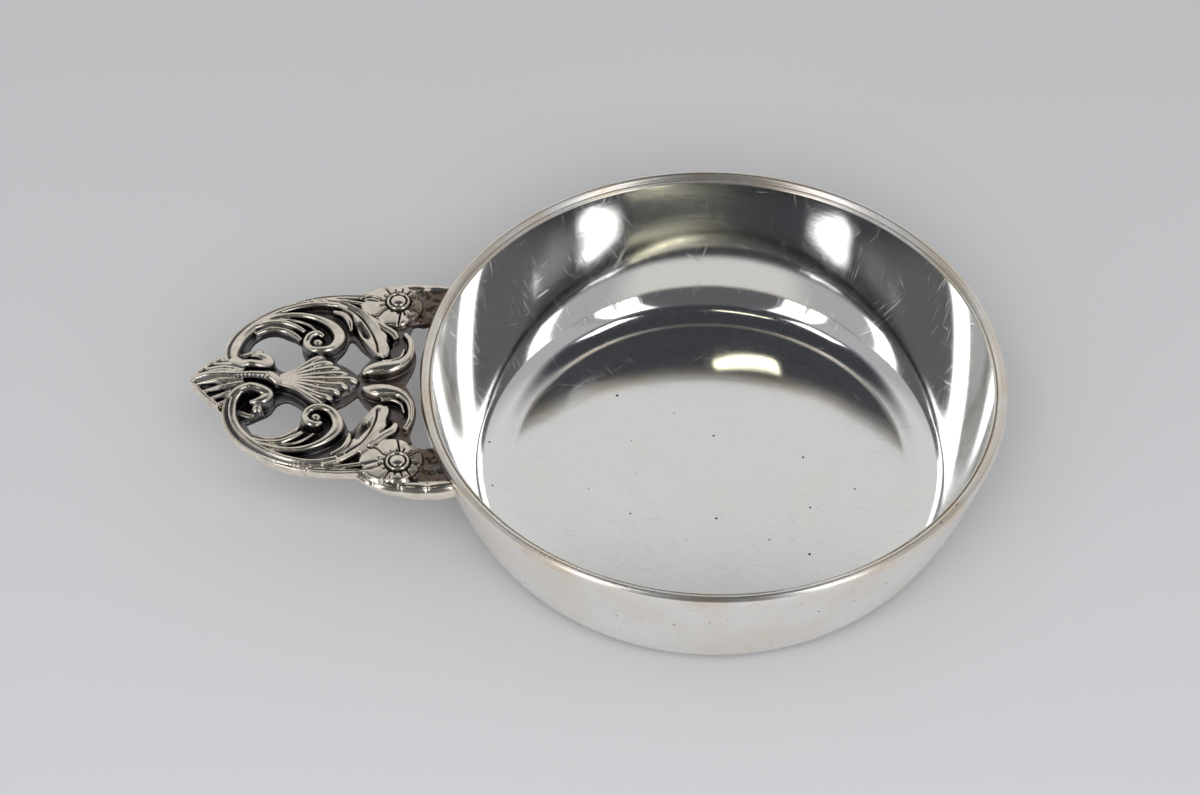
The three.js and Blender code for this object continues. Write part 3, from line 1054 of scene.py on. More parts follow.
@dataclass
class SpunBowl:
    """The bowl body: flat base, rounded heel, wall that leans out, and its rim wire."""

    rim_diameter_mm: float = 114.3
    height_mm: float = 31.0
    base_diameter_mm: float = 85.3
    wall_mm: float = 1.0
    floor_mm: float = 1.05
    heel_reach_mm: float = 7.2
    wall_lean_deg: float = 14.6
    wall_straight_mm: float = 8.5
    wire_width_mm: float = 2.6
    wire_height_mm: float = 1.7
    overhang_mm: float = 0.15
    lip_clear_mm: float = 0.1
    floor_dome_mm: float = 0.6
    floor_hub: float = 0.04
    heel_top_mm: float = 3.6
    heel_easing: float = 1.2
    bead_share: float = 0.8
    crease_share: float = 0.28
    roll_share: float = 0.2
    # Half the width of the dark line of shade painted along the wire's crease.
    painted_crease_shade_mm: float = 0.06
    outside_lean: float = 0.1
    base_lean: float = -0.3
    bowl_crisp_deg: float = 24.0
    wire_crisp_deg: float = 40.0
    steps: int = 256
    wall_rings: int = 40
    heel_rings: int = 24
    floor_rings: int = 12
    bead_steps: int = 14
    roll_steps: int = 6

    @property
    def lip_mm(self) -> float:
        """Height of the lip, under the wire."""
        return self.height_mm - self.wire_height_mm

    def wall_points(self, inwards_mm: float) -> list[Pair]:
        """Draw the wall's curve, moved square to itself towards the inside.

        Args:
            inwards_mm: How far it is moved.

        Returns:
            Radius and height of each point, from the base to the lip, in millimetres.
        """
        base, lip = self.base_diameter_mm / 2, self.rim_diameter_mm / 2 - self.overhang_mm
        lean = math.radians(self.wall_lean_deg)
        handles = (
            Vector((base, 0)),
            Vector((base + self.heel_reach_mm, 0)),
            Vector((
                lip - self.wall_straight_mm * math.sin(lean),
                self.lip_mm - self.wall_straight_mm * math.cos(lean),
            )),
            Vector((lip, self.lip_mm)),
        )
        curve = np.array([tuple(p) for p in interpolate_bezier(*handles, self.wall_rings)])
        run = np.gradient(curve, axis=0)
        run /= np.linalg.norm(run, axis=1)[:, None]
        moved = curve + inwards_mm * np.stack([-run[:, 1], run[:, 0]], axis=1)
        return [(float(x), float(z)) for x, z in moved]

    def inner_heel(self) -> tuple[list[Pair], float]:
        """Draw the inner wall from the lip down, and ease it into the floor.

        The curve opens towards the floor, as a heel that was spun over a wooden form does.

        Returns:
            Radius and height of each point, and the radius at which the floor starts.
        """
        wall = np.array(self.wall_points(self.wall_mm))[::-1]
        below_lip = wall[:, 1] < self.lip_mm - self.lip_clear_mm
        wall = wall[below_lip & (wall[:, 1] > self.heel_top_mm)]
        run = wall[-2] - wall[-1]
        steepest = math.atan2(run[1], run[0])
        # The slope at the edge of a dome that is a parabola
        dome_edge = 4 * self.floor_dome_mm / self.base_diameter_mm
        slope = np.linspace(-dome_edge, steepest, self.heel_rings)
        radius = 1 + self.heel_easing * (1 - slope / steepest) ** 2
        arc = np.stack([radius * np.cos(slope), radius * np.sin(slope)], axis=1)
        arc = np.vstack([[0, 0], np.cumsum((arc[1:] + arc[:-1]) / 2, axis=0)])
        arc *= (wall[-1, 1] - self.floor_mm) / arc[-1, 1]
        arc += [wall[-1, 0] - arc[-1, 0], self.floor_mm]
        return [tuple(point) for point in np.vstack([wall, arc[-2:0:-1]])], float(arc[0, 0])

    def build_bowl(self) -> Piece:
        """Turn the bowl's body.

        Returns:
            The bowl.
        """
        lip = self.rim_diameter_mm / 2 - self.overhang_mm
        outer = self.wall_points(0)
        inner, heel = self.inner_heel()
        floor = [
            (heel * share, self.floor_mm + self.floor_dome_mm * (1 - share * share))
            for share in np.linspace(1, self.floor_hub, self.floor_rings)
        ]
        profile = [*outer, (lip - self.wall_mm, self.lip_mm), *inner, *floor]
        bowl = turned("spun_bowl", [(x * MM, z * MM) for x, z in profile], self.steps, False)
        smooth_by_angle(bowl, self.bowl_crisp_deg)
        level, normals = corners(bowl)[:, :2], corner_normals(bowl)
        outwards = (level * normals[:, :2]).sum(axis=1) / np.linalg.norm(level, axis=1)
        outside = (outwards > self.outside_lean) | (normals[:, 2] < self.base_lean)
        mark(bowl, BuffedSilver.mask, outside)
        return bowl

    def build_wire(self) -> Piece:
        """Turn the rim wire: a half-round bead outside and a thin rolled edge inside.

        Returns:
            The rim wire.
        """
        outer = self.rim_diameter_mm / 2
        bead = self.wire_width_mm * self.bead_share
        roll = self.wire_width_mm - bead
        crease = self.lip_mm + self.crease_share * self.wire_height_mm
        profile = []
        for step in range(self.bead_steps):
            turn = math.pi * step / self.bead_steps
            x = outer - bead / 2 + math.cos(turn) * bead / 2
            z = self.lip_mm + math.sin(turn) * self.wire_height_mm
            if x > outer - bead / 2 or z > crease:
                profile.append((x, z))
        for step in range(1, self.roll_steps + 1):
            turn = math.pi * step / self.roll_steps
            profile.append((
                outer - bead - roll / 2 + math.cos(turn) * roll / 2,
                crease + math.sin(turn) * self.roll_share * self.wire_height_mm,
            ))
        profile += [(outer - self.wire_width_mm, self.lip_mm), profile[0]]
        wire = turned("half_round_wire", [(x * MM, z * MM) for x, z in profile], self.steps, True)
        smooth_by_angle(wire, self.wire_crisp_deg)
        from_axis = np.linalg.norm(corners(wire)[:, :2], axis=1) / MM
        mark(wire, BuffedSilver.mask, np.ones(len(from_axis)))
        # Painted shade: a thin dark line along the crease between the bead and the rolled edge.
        mark(wire, BuffedSilver.painted_crease_shade_mask, np.abs(from_axis - (outer - bead)) < self.painted_crease_shade_mm)
        return wire

    def dress(self) -> None:
        """Build both pieces, finish them and put them in place of their nodes."""
        bowl = self.build_bowl()
        bowl.data.materials.append(BuffedSilver("polished_silver").material())
        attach(bowl, BODY)
        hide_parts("bowl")
        log.info("bowl: %d faces", len(bowl.data.polygons))
        wire = self.build_wire()
        finish = BuffedSilver(
            "rim_silver", film="#EAD8C0", outside_film=0.8, outside_roughness=0.28,
            pit_share=0.1,
        )
        wire.data.materials.append(finish.material())
        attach(wire, BODY)
        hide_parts("rim_wire")
        log.info("rim wire: %d faces", len(wire.data.polygons))


# The handle


class Section(Enum):
    """Tops of the cast bands: place across and drop below the crest, both in band widths."""

    CROWN = (
        (-0.5, 0.5), (-0.45, 0.24), (-0.34, 0.09), (-0.17, 0.02), (0.0, 0.0),
        (0.17, 0.02), (0.34, 0.09), (0.45, 0.24), (0.5, 0.5),
    )
    DOUBLE = (
        (-0.5, 0.4), (-0.42, 0.09), (-0.28, 0.0), (-0.13, 0.08), (0.0, 0.24),
        (0.13, 0.08), (0.28, 0.0), (0.42, 0.09), (0.5, 0.4),
    )
    STEPPED = (
        (-0.5, 0.4), (-0.44, 0.12), (-0.3, 0.01), (-0.12, 0.0), (0.04, 0.06),
        (0.15, 0.3), (0.24, 0.36), (0.32, 0.22), (0.42, 0.26), (0.5, 0.5),
    )
    DISHED = (
        (-0.5, 0.34), (-0.45, 0.05), (-0.38, 0.0), (-0.22, 0.1), (0.0, 0.16),
        (0.22, 0.1), (0.38, 0.0), (0.45, 0.05), (0.5, 0.34),
    )


@dataclass(frozen=True)
class Band:
    """One cast band: a smooth line of places with the height of its crest and its width.

    A place is the distance from the bowl's axis and from the handle's middle, and a height is
    measured from the face of the plate, all in millimetres. Every width is spread a little.
    """

    rows: tuple[Row, ...]
    section: Section = Section.CROWN
    steps: int = 8
    spread: float = 1.14
    thinnest_mm: float = 0.2

    def build(self, face_mm: float, foot_mm: float) -> Piece:
        """Loft the band from its foot to its crest.

        Args:
            face_mm: Height of the plate's face.
            foot_mm: Height of the band's flat foot.

        Returns:
            The band as one closed mesh.
        """
        line = smooth_rows(self.rows, self.steps)
        line[:, 0] *= -1
        run = np.gradient(line[:, :2], axis=0)
        run /= np.linalg.norm(run, axis=1)[:, None]
        side = np.stack([-run[:, 1], run[:, 0]], axis=1)
        points = []
        for (x, y, height, width), (side_x, side_y) in zip(line, side):
            width = max(width * self.spread, self.thinnest_mm)
            ring = [
                (across, face_mm + height - drop * width)
                for across, drop in self.section.value
            ]
            points += [
                (x + across * width * side_x, y + across * width * side_y, max(z, foot_mm))
                for across, z in ((-0.5, foot_mm), *ring, (0.5, foot_mm))
            ]
        return lofted("band", points, len(self.section.value) + 2)


@dataclass(frozen=True)
class ChasedLine:
    """One line that is cut into the casting with a chasing tool.

    Places are as in a band, and width and depth are in millimetres.
    """

    places: tuple[Pair, ...]
    width_mm: float
    depth_mm: float


@dataclass
class ScrollHandle:
    """The cast handle: a pierced plate with scrolls, leaves, a fan, two flowers and two lugs."""

    # Heights above the table
    face_mm: float = 30.0
    floor_mm: float = 29.5
    foot_mm: float = 28.9
    back_mm: float = 28.5

    # Lugs
    lug_bottom_mm: float = 27.4
    lug_inner_mm: float = 16.3
    lug_outer_mm: float = 25.6
    lug_near_mm: float = 48.0
    lug_back_mm: float = 60.5
    lug_sunk_mm: float = 0.45
    lug_round_mm: float = 0.45
    lump_mm: Pair = (1.5, 0.3)
    lump_sink: float = 0.8
    bare_lug_beside: Pair = (0.84, 0.96)
    bare_lug_from_mm: Pair = (-60.5, -59.0)
    bare_lug_edge_mm: float = 0.8
    clearance_mm: float = 0.12
    clearance_from_mm: float = 15.0
    clearance_to_mm: float = 60.0

    # Flower, boss and balls
    flower_mm: Pair = (62.5, 20.4)
    flower_reach_mm: Pair = (6.8, 6.1)
    flower_top_mm: float = 0.75
    flower_fall_mm: float = 0.25
    petals: int = 5
    petal_turn: float = 0.35
    petal_notch: float = 0.11
    petal_crease_mm: Pair = (0.22, 0.4)
    petal_reach_mm: float = 6.0
    petal_roll: Pair = (0.84, 0.16)
    petal_roll_mm: float = 1.9
    boss_mm: Pair = (61.2, 21.1)
    boss_radius_mm: float = 2.05
    boss_ring_mm: float = 0.3
    boss_ring_lift_mm: float = 0.1
    boss_dome_mm: float = 1.7
    boss_dome_sunk_mm: float = 0.05
    boss_dome_squash: float = 0.42
    boss_pad_mm: Pair = (1.6, 1.15)
    balls_mm: tuple[Row, ...] = ((88.2, 7.2, 0.55, 1.2), (76.9, 9.8, 0.6, 1.15))

    # Leaf tip and fan
    tip_mm: float = 101.65
    tip_lift_mm: float = 1.6
    tip_lift_run_mm: float = 11.0
    fan_ribs: int = 4

    # Rolled edge outside the flower: place, height, and half its width and thickness
    rolled_edge: tuple[tuple[float, ...], ...] = (
        (68.9, 23.3, 29.3, 0.8, 0.6), (66.8, 24.4, 29.05, 1.4, 1.0),
        (63, 25.6, 28.6, 1.6, 1.45), (58.5, 26.1, 28.0, 1.65, 1.85),
        (54.5, 26.1, 27.7, 1.65, 2.0), (50, 25.4, 27.6, 1.6, 2.0),
    )
    rolled_edge_round: int = 20
    scallops: int = 4
    scallop_swell: Pair = (0.82, 0.18)

    # Mesh
    voxel_mm: float = 0.17
    doubles_mm: float = 1e-4
    triangle_limit: int = 190000
    crisp_deg: float = 50.0
    curve_steps: int = 8

    # Oxide: how far a corner looks for what shuts it in, and how much stays where
    look_mm: tuple[float, ...] = (0.35, 0.7, 1.1, 1.6, 2.3)
    look_directions: int = 12
    shut_in: Pair = (0.12, 0.62)
    full_cut_mm: float = 0.3
    cut_oxide: float = 0.25
    floor_oxide: float = 0.85
    lug_oxide: float = 0.75
    rim_oxide: float = 0.48
    back_oxide: float = 0.12
    rolled_oxide: float = 0.2
    outer_wall_oxide: float = 0.25
    floor_band_mm: float = 0.25
    rolled_band_mm: float = 0.6
    rolled_from_mm: float = -69.0
    rim_run_mm: Pair = (-61.5, -57.0)
    outer_band_mm: float = 0.8
    level: float = 0.3
    steep: float = 0.6

    # Half of the plate's outline, from the tip round to the middle of the bowl's side
    outline: tuple[tuple[Pair, ...], ...] = (
        ((101.65, 0), (100.4, 2), (98.5, 4.3), (95.3, 6.9)),
        ((95.3, 6.9), (94.9, 9.6), (93, 13.4), (89.2, 17.5), (84.8, 20.6), (79, 22.8),
         (69.2, 23.6)),
        ((69.2, 23.6), (66, 25.3), (62, 26.2), (57.5, 25.4)),
        ((57.5, 25.4), (54, 25.4)),
        ((54, 25.4), (54, 16.5)),
        ((54, 16.5), (57.2, 16.3)),
        ((58.2, 15.9), (58.9, 13.2), (58.1, 10), (57.7, 7.2), (58.2, 4), (59.9, 0)),
    )
    outer_stretches: int = 4

    # Openings of one half
    window: tuple[Pair, ...] = (
        (90.4, 9.6), (89.2, 12), (87.2, 13.6), (85, 13.9), (82.6, 12.8), (80.3, 11.3),
        (79.9, 9), (79.3, 6.7), (80.8, 4.8), (82.8, 3.8), (84.4, 4.6), (85.9, 7), (88.2, 8.5),
        (90.4, 9.6),
    )
    diamond: tuple[Pair, ...] = (
        (69, 2.6), (68, 4.7), (66.6, 7.1), (68.4, 9.6), (70.3, 12), (71.5, 9.3), (73.2, 6.3),
        (71.2, 4.7), (69, 2.6),
    )

    def side_bands(self) -> list[Band]:
        """List the bands of one half of the handle."""
        stepped, dished, double = Section.STEPPED, Section.DISHED, Section.DOUBLE
        return [
            # The outer scroll, from its curl at the leaf tip round to the shoulder
            Band((
                (89.7, 6.0, 2.0, 0.5), (88.4, 6.0, 2.4, 1.3), (87.0, 5.4, 2.5, 2.0),
                (86.2, 4.2, 2.5, 2.2), (87.3, 3.3, 3.0, 1.9), (89.6, 3, 3.6, 1.7),
                (91.8, 3.6, 3.0, 1.9), (93.2, 5.4, 2.1, 2.4),
            )),
            Band((
                (91.8, 3.6, 3.0, 1.9), (93.2, 5.4, 2.1, 2.4), (93.5, 8.6, 1.45, 2.8),
                (92.4, 11.9, 1.25, 2.9), (90.1, 15, 1.25, 2.7), (86.5, 18, 1.15, 2.1),
                (82, 20.2, 1.15, 1.8), (77, 21.1, 1.15, 1.6), (72.8, 20.4, 1.3, 1.5),
            ), stepped),
            Band((
                (75.5, 21.1, 1.1, 1.3), (72.8, 20.4, 1.3, 1.6), (69.6, 18.2, 1.5, 2.0),
                (67.6, 14.8, 1.35, 3.6), (66.1, 11.6, 1.25, 4.2), (64.9, 9, 1.2, 3.6),
                (64.3, 7.6, 1.1, 2.9), (64.0, 6.7, 0.9, 1.9), (63.9, 6.3, 0.6, 0.8),
            ), dished),
            # The inner scroll, from its curl round the ball to the outer scroll
            Band((
                (75.7, 11.3, 1.7, 0.7), (76.8, 12.0, 2.1, 1.1), (78.3, 11.4, 2.2, 1.35),
                (79, 9.6, 1.9, 1.35), (78.1, 8.0, 2.0, 1.3), (76.3, 7.5, 2.2, 1.3),
                (74.2, 8.2, 2.0, 1.5), (72.9, 10.1, 1.8, 2.1), (72.7, 12.1, 1.7, 2.3),
                (74.1, 14.6, 1.6, 1.8), (77, 16.7, 1.4, 1.2), (80.5, 17.7, 1.3, 1.1),
                (84.5, 17.4, 1.3, 1.1), (88, 15.9, 1.2, 0.9),
            )),
            # Thin leaves that run beside the inner scroll
            Band(((88.6, 15.3, 1.0, 0.4), (84.6, 16.5, 1.05, 0.5), (81, 16.1, 1.0, 0.5),
                  (78.6, 14.9, 1.0, 0.5), (77.2, 13.5, 0.9, 0.4))),
            Band(((89.6, 14.4, 1.1, 0.6), (87, 15.6, 1.3, 0.9), (83.8, 15.7, 1.35, 0.95),
                  (81.2, 14.6, 1.3, 0.9), (79.4, 13.2, 1.1, 0.7))),
            Band(((89.2, 13.2, 0.7, 0.7), (86.6, 14.5, 0.75, 1.0), (83.7, 14.3, 0.7, 1.2),
                  (81.2, 12.7, 0.6, 1.2), (80.2, 11.4, 0.5, 0.8))),
            # Leaves between the scrolls and along the shoulder
            Band(((74, 18.9, 0.8, 0.7), (71.7, 17.6, 1.15, 1.2), (70.6, 15.4, 1.1, 1.1),
                  (70.4, 13.6, 0.8, 0.6))),
            Band(((87.5, 18.6, 0.0, 0.5), (84.5, 20.3, 0.35, 0.8), (79, 22.2, 0.45, 1.0),
                  (73.5, 23.0, 0.55, 1.1), (67.2, 22.9, 0.45, 1.1)), double),
            Band(((78, 21.8, 0.3, 0.4), (73, 21.9, 0.7, 0.8), (67.2, 20.9, 0.5, 1.0))),
            Band(((68.6, 18.6, 1.2, 0.8), (66.5, 16.6, 1.15, 1.0), (64.2, 14.4, 1.1, 1.3),
                  (62.2, 12.7, 1.0, 1.5), (61.5, 11.2, 0.8, 1.0))),
            Band(((66.2, 14.6, 0.9, 0.5), (64.3, 12.4, 1.1, 1.0), (63.2, 10.6, 1.0, 0.9))),
            # The scrolls at the bowl
            Band((
                (68.0, 1.7, 0.9, 0.6), (67.0, 2.4, 1.5, 2.0), (65.0, 2.9, 1.9, 3.2),
                (62.8, 3.2, 1.95, 2.9), (60.7, 4.0, 1.8, 2.0), (59.1, 6.0, 1.6, 1.4),
                (58.6, 8.5, 1.35, 1.15), (58.9, 10.8, 1.1, 1.0), (59.9, 12.6, 0.8, 0.8),
            )),
            Band(((64.4, 5.2, 0.9, 0.4), (62.3, 5.2, 1.0, 0.55), (60.6, 6.3, 0.9, 0.5),
                  (60.0, 8.4, 0.7, 0.4))),
            # Collar between the knot of the curl and the tip, with its ribs
            Band(((91.8, 7.3, 0.5, 1.4), (89.2, 8.2, 0.35, 1.3), (87, 7.4, 0.5, 1.1))),
            Band(((91.0, 0.9, 3.1, 0.6), (95.4, 1.25, 2.7, 0.95), (99.9, 1.1, 0.6, 0.5))),
            Band(((90.8, 1.6, 2.9, 0.6), (94.6, 2.45, 2.4, 1.0), (98.6, 2.9, 0.5, 0.6))),
            Band(((90.8, 2.3, 2.6, 0.5), (93.8, 3.7, 2.0, 1.0), (97.2, 4.5, 0.5, 0.6))),
            Band(((91.9, 3.6, 1.9, 0.5), (93.8, 4.95, 1.3, 0.9), (95.8, 5.8, 0.5, 0.6))),
            # The leaf's thin raised edge
            Band(((101.0, 0.3, 0.25, 0.5), (99.7, 2.0, 0.5, 0.75), (98.0, 4.1, 0.6, 0.85),
                  (95.6, 6.3, 0.65, 0.9))),
            *[self.fan_rib(number) for number in range(1, self.fan_ribs + 1)],
        ]

    def middle_bands(self) -> list[Band]:
        """List the bands on the handle's middle line: the stem, the leaf pad and one rib."""
        return [
            Band((
                (101.4, 0, 0.1, 0.6), (100.3, 0, 1.3, 1.0), (96, 0, 3.0, 1.25), (90, 0, 3.7, 1.5),
                (87.6, 0, 3.6, 1.7), (85.8, 0, 3.2, 2.3), (84.6, 0, 2.4, 2.9), (83.6, 0, 1.5, 1.8),
            )),
            Band((
                (101.3, 0, 0.0, 1.0), (99, 0, 0.45, 6.2), (96.6, 0, 1.0, 10.2),
                (94, 0, 1.5, 9.4), (90, 0, 2.0, 5.4), (85.6, 0, 1.3, 3.6),
            )),
            # The web of the fan, which the ribs stand on
            Band((
                (84.4, 0, 0.9, 1.6), (82, 0, 1.0, 4.2), (79.2, 0, 1.05, 8.4),
                (76.6, 0, 0.95, 12.0), (74.9, 0, 0.8, 12.6), (72.2, 0, 0.7, 8.0),
                (70, 0, 0.6, 3.8), (68.8, 0, 0.3, 1.2),
            )),
            self.fan_rib(0),
        ]

    def fan_rib(self, number: int) -> Band:
        """Draw one rib of the fan, from the knot to the fan's slanted edge.

        Args:
            number: 0 for the middle rib, then outwards.

        Returns:
            The rib.
        """
        share = number / self.fan_ribs
        end_x = 68.9 + 6.2 * share**0.9
        end_y = 5.9 * share
        return Band((
            (84.4, 0.9 * share, 1.5, 0.5),
            (80.8, 2.5 * share**1.15, 1.75, 0.75),
            ((80.8 + end_x) / 2 - 0.6, 5.3 * share, 1.7, 1.2),
            (end_x + 1.1, end_y, 1.45, 1.4),
            (end_x + 0.1, end_y * 0.97, 0.8, 1.35),
        ))

    def chased_lines(self) -> list[ChasedLine]:
        """List what is chased into one half: veins, creases, nicks, grooves and punch marks."""
        lines = [
            ChasedLine(((65.1, 7.6), (65.4, 10), (66.4, 13), (68.4, 16.6), (71, 19)), 0.4, 0.32),
            ChasedLine(((67.6, 11.9), (68.3, 13.1), (69.2, 14.6)), 1.5, 0.7),
            ChasedLine(((62.9, 9.9), (63.0, 11.4)), 0.9, 0.5),
            ChasedLine(((60.4, 3.4), (59.0, 5.0), (58.3, 7.5), (58.5, 10.2)), 0.3, 0.18),
            ChasedLine(((64.6, 21.9), (66.4, 22.6), (68.4, 22.5)), 0.35, 0.3),
            ChasedLine(((63.8, 19.2), (65.4, 17.4), (66.9, 17.4)), 0.35, 0.3),
            ChasedLine(((60.8, 18.5), (61.0, 16.6), (61.2, 15.3)), 0.4, 0.45),
            ChasedLine(((59.4, 23.2), (58.6, 24.6), (57.7, 25.2)), 0.35, 0.35),
            ChasedLine(((62.8, 23.4), (63.6, 24.8), (64.3, 25.6)), 0.35, 0.35),
            ChasedLine(((58.9, 19.6), (57.6, 18.6), (56.8, 18.2)), 0.45, 0.4),
        ]
        lines += self.boss_lines()
        punches, first_mm, apart_mm = 9, 86.2, 0.75
        for spot in (first_mm + apart_mm * number for number in range(punches)):
            lines.append(ChasedLine(((spot, 0.62), (spot + 0.15, 0.72)), 0.42, 0.3))
        return lines

    def boss_lines(self) -> list[ChasedLine]:
        """Chase uneven nicks outside the boss, and a groove on each side of its ring."""

        def round_boss(radius: float, turn: float) -> Pair:
            """Place a point round the boss."""
            x, y = self.boss_mm
            return x + radius * math.cos(turn), y + radius * math.sin(turn)

        lines = []
        nicks, gap_mm, middle_mm, varies_mm = 15, 0.55, 0.7, 0.45
        start = self.boss_radius_mm + gap_mm
        for number in range(nicks):
            turn = 2 * math.pi * (number + 0.35) / nicks
            reach = middle_mm + varies_mm * math.sin(5.0 * number + 1.0)
            end = start + reach
            lines.append(ChasedLine((round_boss(start, turn), round_boss(end, turn)), 0.34, 0.4))
        turns = np.linspace(0, 2 * math.pi, 25)
        for from_ring, width, depth in ((0.42, 0.4, 0.34), (-0.42, 0.34, 0.3)):
            groove = self.boss_radius_mm + from_ring
            lines.append(ChasedLine(tuple(round_boss(groove, a) for a in turns), width, depth))
        return lines

    def build_plate(self) -> Piece:
        """Cut the pierced back plate.

        Returns:
            The plate.
        """
        half = []
        for stretch in self.outline:
            half += [tuple(row) for row in smooth_rows(stretch, self.curve_steps)[:-1]]
        half.append(self.outline[-1][-1])
        other = [(x, -y) for x, y in reversed(half[1:-1])]
        loops = [half + other]
        for hole in (self.window, self.diamond):
            loop = [tuple(row) for row in smooth_rows(hole, self.curve_steps)[:-1]]
            loops += [loop, [(x, -y) for x, y in loop]]
        curve = bpy.data.curves.new("plate", "CURVE")
        curve.dimensions = "2D"
        curve.fill_mode = "BOTH"
        curve.extrude = (self.floor_mm - self.back_mm) / 2
        for loop in loops:
            spline = curve.splines.new("POLY")
            spline.points.add(len(loop) - 1)
            for point, (x, y) in zip(spline.points, loop):
                point.co = (-x, y, 0, 1)
            spline.use_cyclic_u = True
        plate = bpy.data.objects.new("plate", curve)
        bpy.context.scene.collection.objects.link(plate)
        activate(plate)
        bpy.ops.object.convert(target="MESH")
        plate = bpy.context.object
        plate.data.transform(Matrix.Translation((0, 0, (self.floor_mm + self.back_mm) / 2)))
        return plate

    def build_flower(self) -> Piece:
        """Raise one flower: broad merged petals whose edges roll down to the back.

        Returns:
            The flower without its boss.
        """
        rings, spokes = 24, 160
        middle_x, middle_y = -self.flower_mm[0], self.flower_mm[1]
        reach_x, reach_y = self.flower_reach_mm
        roll_from, roll_run = self.petal_roll
        crease_depth, crease_width = self.petal_crease_mm
        top = self.face_mm + self.flower_top_mm
        turn = np.linspace(0, 2 * math.pi, spokes, endpoint=False)
        wave = np.abs(np.sin(self.petals / 2 * (turn - self.petal_turn)))
        edge = 1 - self.petal_notch * (1 - wave) ** 3
        points = [(middle_x, middle_y, top)]
        for ring in range(1, rings + 1):
            share = ring / rings
            from_crease = share * self.petal_reach_mm * np.arcsin(wave) / (self.petals / 2)
            crease = crease_depth * np.exp(-(from_crease / crease_width) ** 2)
            roll = np.clip((share - roll_from) / roll_run, 0, 1)
            z = top - self.flower_fall_mm * share**2 - crease * share
            z -= self.petal_roll_mm * roll**2.2
            x = middle_x + reach_x * edge * share * np.cos(turn)
            y = middle_y + reach_y * edge * share * np.sin(turn)
            points += list(zip(x, y, np.maximum(z, self.back_mm)))
        last = 1 + (rings - 1) * spokes
        points += [(x, y, self.back_mm) for x, y, _ in points[last:last + spokes]]
        faces = [(0, 1 + k, 1 + (k + 1) % spokes) for k in range(spokes)]
        for ring in range(rings):
            low, high = 1 + ring * spokes, 1 + (ring + 1) * spokes
            faces += [
                (low + k, high + k, high + (k + 1) % spokes, low + (k + 1) % spokes)
                for k in range(spokes)
            ]
        faces.append(tuple(range(last + spokes, last + 2 * spokes))[::-1])
        return piece_from("flower", points, faces)

    def build_boss(self) -> list[Piece]:
        """Make the flower's domed boss and the ring round it.

        Returns:
            The ring, the dome and the pad under them.
        """
        x, y = -self.boss_mm[0], self.boss_mm[1]
        top = self.face_mm + self.flower_top_mm
        pad_mm, pad_down_mm = self.boss_pad_mm
        bpy.ops.mesh.primitive_torus_add(
            major_radius=self.boss_radius_mm, minor_radius=self.boss_ring_mm,
            major_segments=64, minor_segments=16, location=(x, y, top + self.boss_ring_lift_mm),
        )
        ring = bpy.context.object
        bpy.ops.mesh.primitive_uv_sphere_add(
            segments=40, ring_count=24, radius=self.boss_dome_mm,
            location=(x, y, top - self.boss_dome_sunk_mm),
        )
        dome = bpy.context.object
        dome.scale.z = self.boss_dome_squash
        bpy.ops.mesh.primitive_cylinder_add(
            vertices=48, radius=self.boss_radius_mm, depth=pad_mm,
            location=(x, y, top - pad_down_mm),
        )
        pad = bpy.context.object
        return [ring, dome, pad]

    def build_balls(self) -> list[Piece]:
        """Make the two balls that sit in the curls."""
        balls = []
        for x, y, height, radius in self.balls_mm:
            bpy.ops.mesh.primitive_uv_sphere_add(
                segments=32, ring_count=20, radius=radius, location=(-x, y, self.face_mm + height),
            )
            balls.append(bpy.context.object)
        return balls

    def build_rolled_edge(self) -> Piece:
        """Loft the scalloped edge that rolls down outside the flower and the lug.

        Returns:
            The edge as one closed mesh.
        """
        line = smooth_rows(self.rolled_edge, 12)
        least, more = self.scallop_swell
        turn = np.linspace(0, 2 * math.pi, self.rolled_edge_round, endpoint=False)
        points = []
        for number, (x, y, z, reach_y, reach_z) in enumerate(line):
            wave = abs(math.sin(math.pi * self.scallops * number / (len(line) - 1)))
            swell = least + more * wave**0.6
            points += [
                (-x, y + reach_y * swell * math.cos(a), z + reach_z * swell * math.sin(a))
                for a in turn
            ]
        return lofted("rolled_edge", points, self.rolled_edge_round)

    def build_lug(self) -> Piece:
        """Make the thick foot behind a flower, which is soldered to the bowl."""
        length = self.lug_back_mm - self.lug_near_mm
        width = self.lug_outer_mm - self.lug_inner_mm
        top = self.face_mm - self.lug_sunk_mm
        bpy.ops.mesh.primitive_cube_add(
            size=1,
            location=(
                -(self.lug_back_mm + self.lug_near_mm) / 2,
                (self.lug_outer_mm + self.lug_inner_mm) / 2,
                (top + self.lug_bottom_mm) / 2,
            ),
            scale=(length, width, top - self.lug_bottom_mm),
        )
        lug = bpy.context.object
        bpy.ops.object.transform_apply(location=False, rotation=False, scale=True)
        apply_modifier(lug, "BEVEL", width=self.lug_round_mm, segments=3)
        return lug

    def build_clearance(self, bowl: "SpunBowl") -> Piece:
        """Turn the space that the bowl and its wire take, for cutting the lugs.

        Args:
            bowl: The bowl's sizes.

        Returns:
            A solid that is cut from the handle.
        """
        gap = self.clearance_mm
        outer = bowl.rim_diameter_mm / 2 + gap
        under = bowl.lip_mm - gap
        low, high = self.clearance_from_mm, under - bowl.lip_clear_mm
        wall = [(x, z) for x, z in bowl.wall_points(-gap) if low < z < high]
        profile = [
            *wall, (wall[-1][0] + 0.02, under), (outer, under + 0.01),
            (outer, self.clearance_to_mm),
        ]
        return turned("clearance", profile, bowl.steps, False)

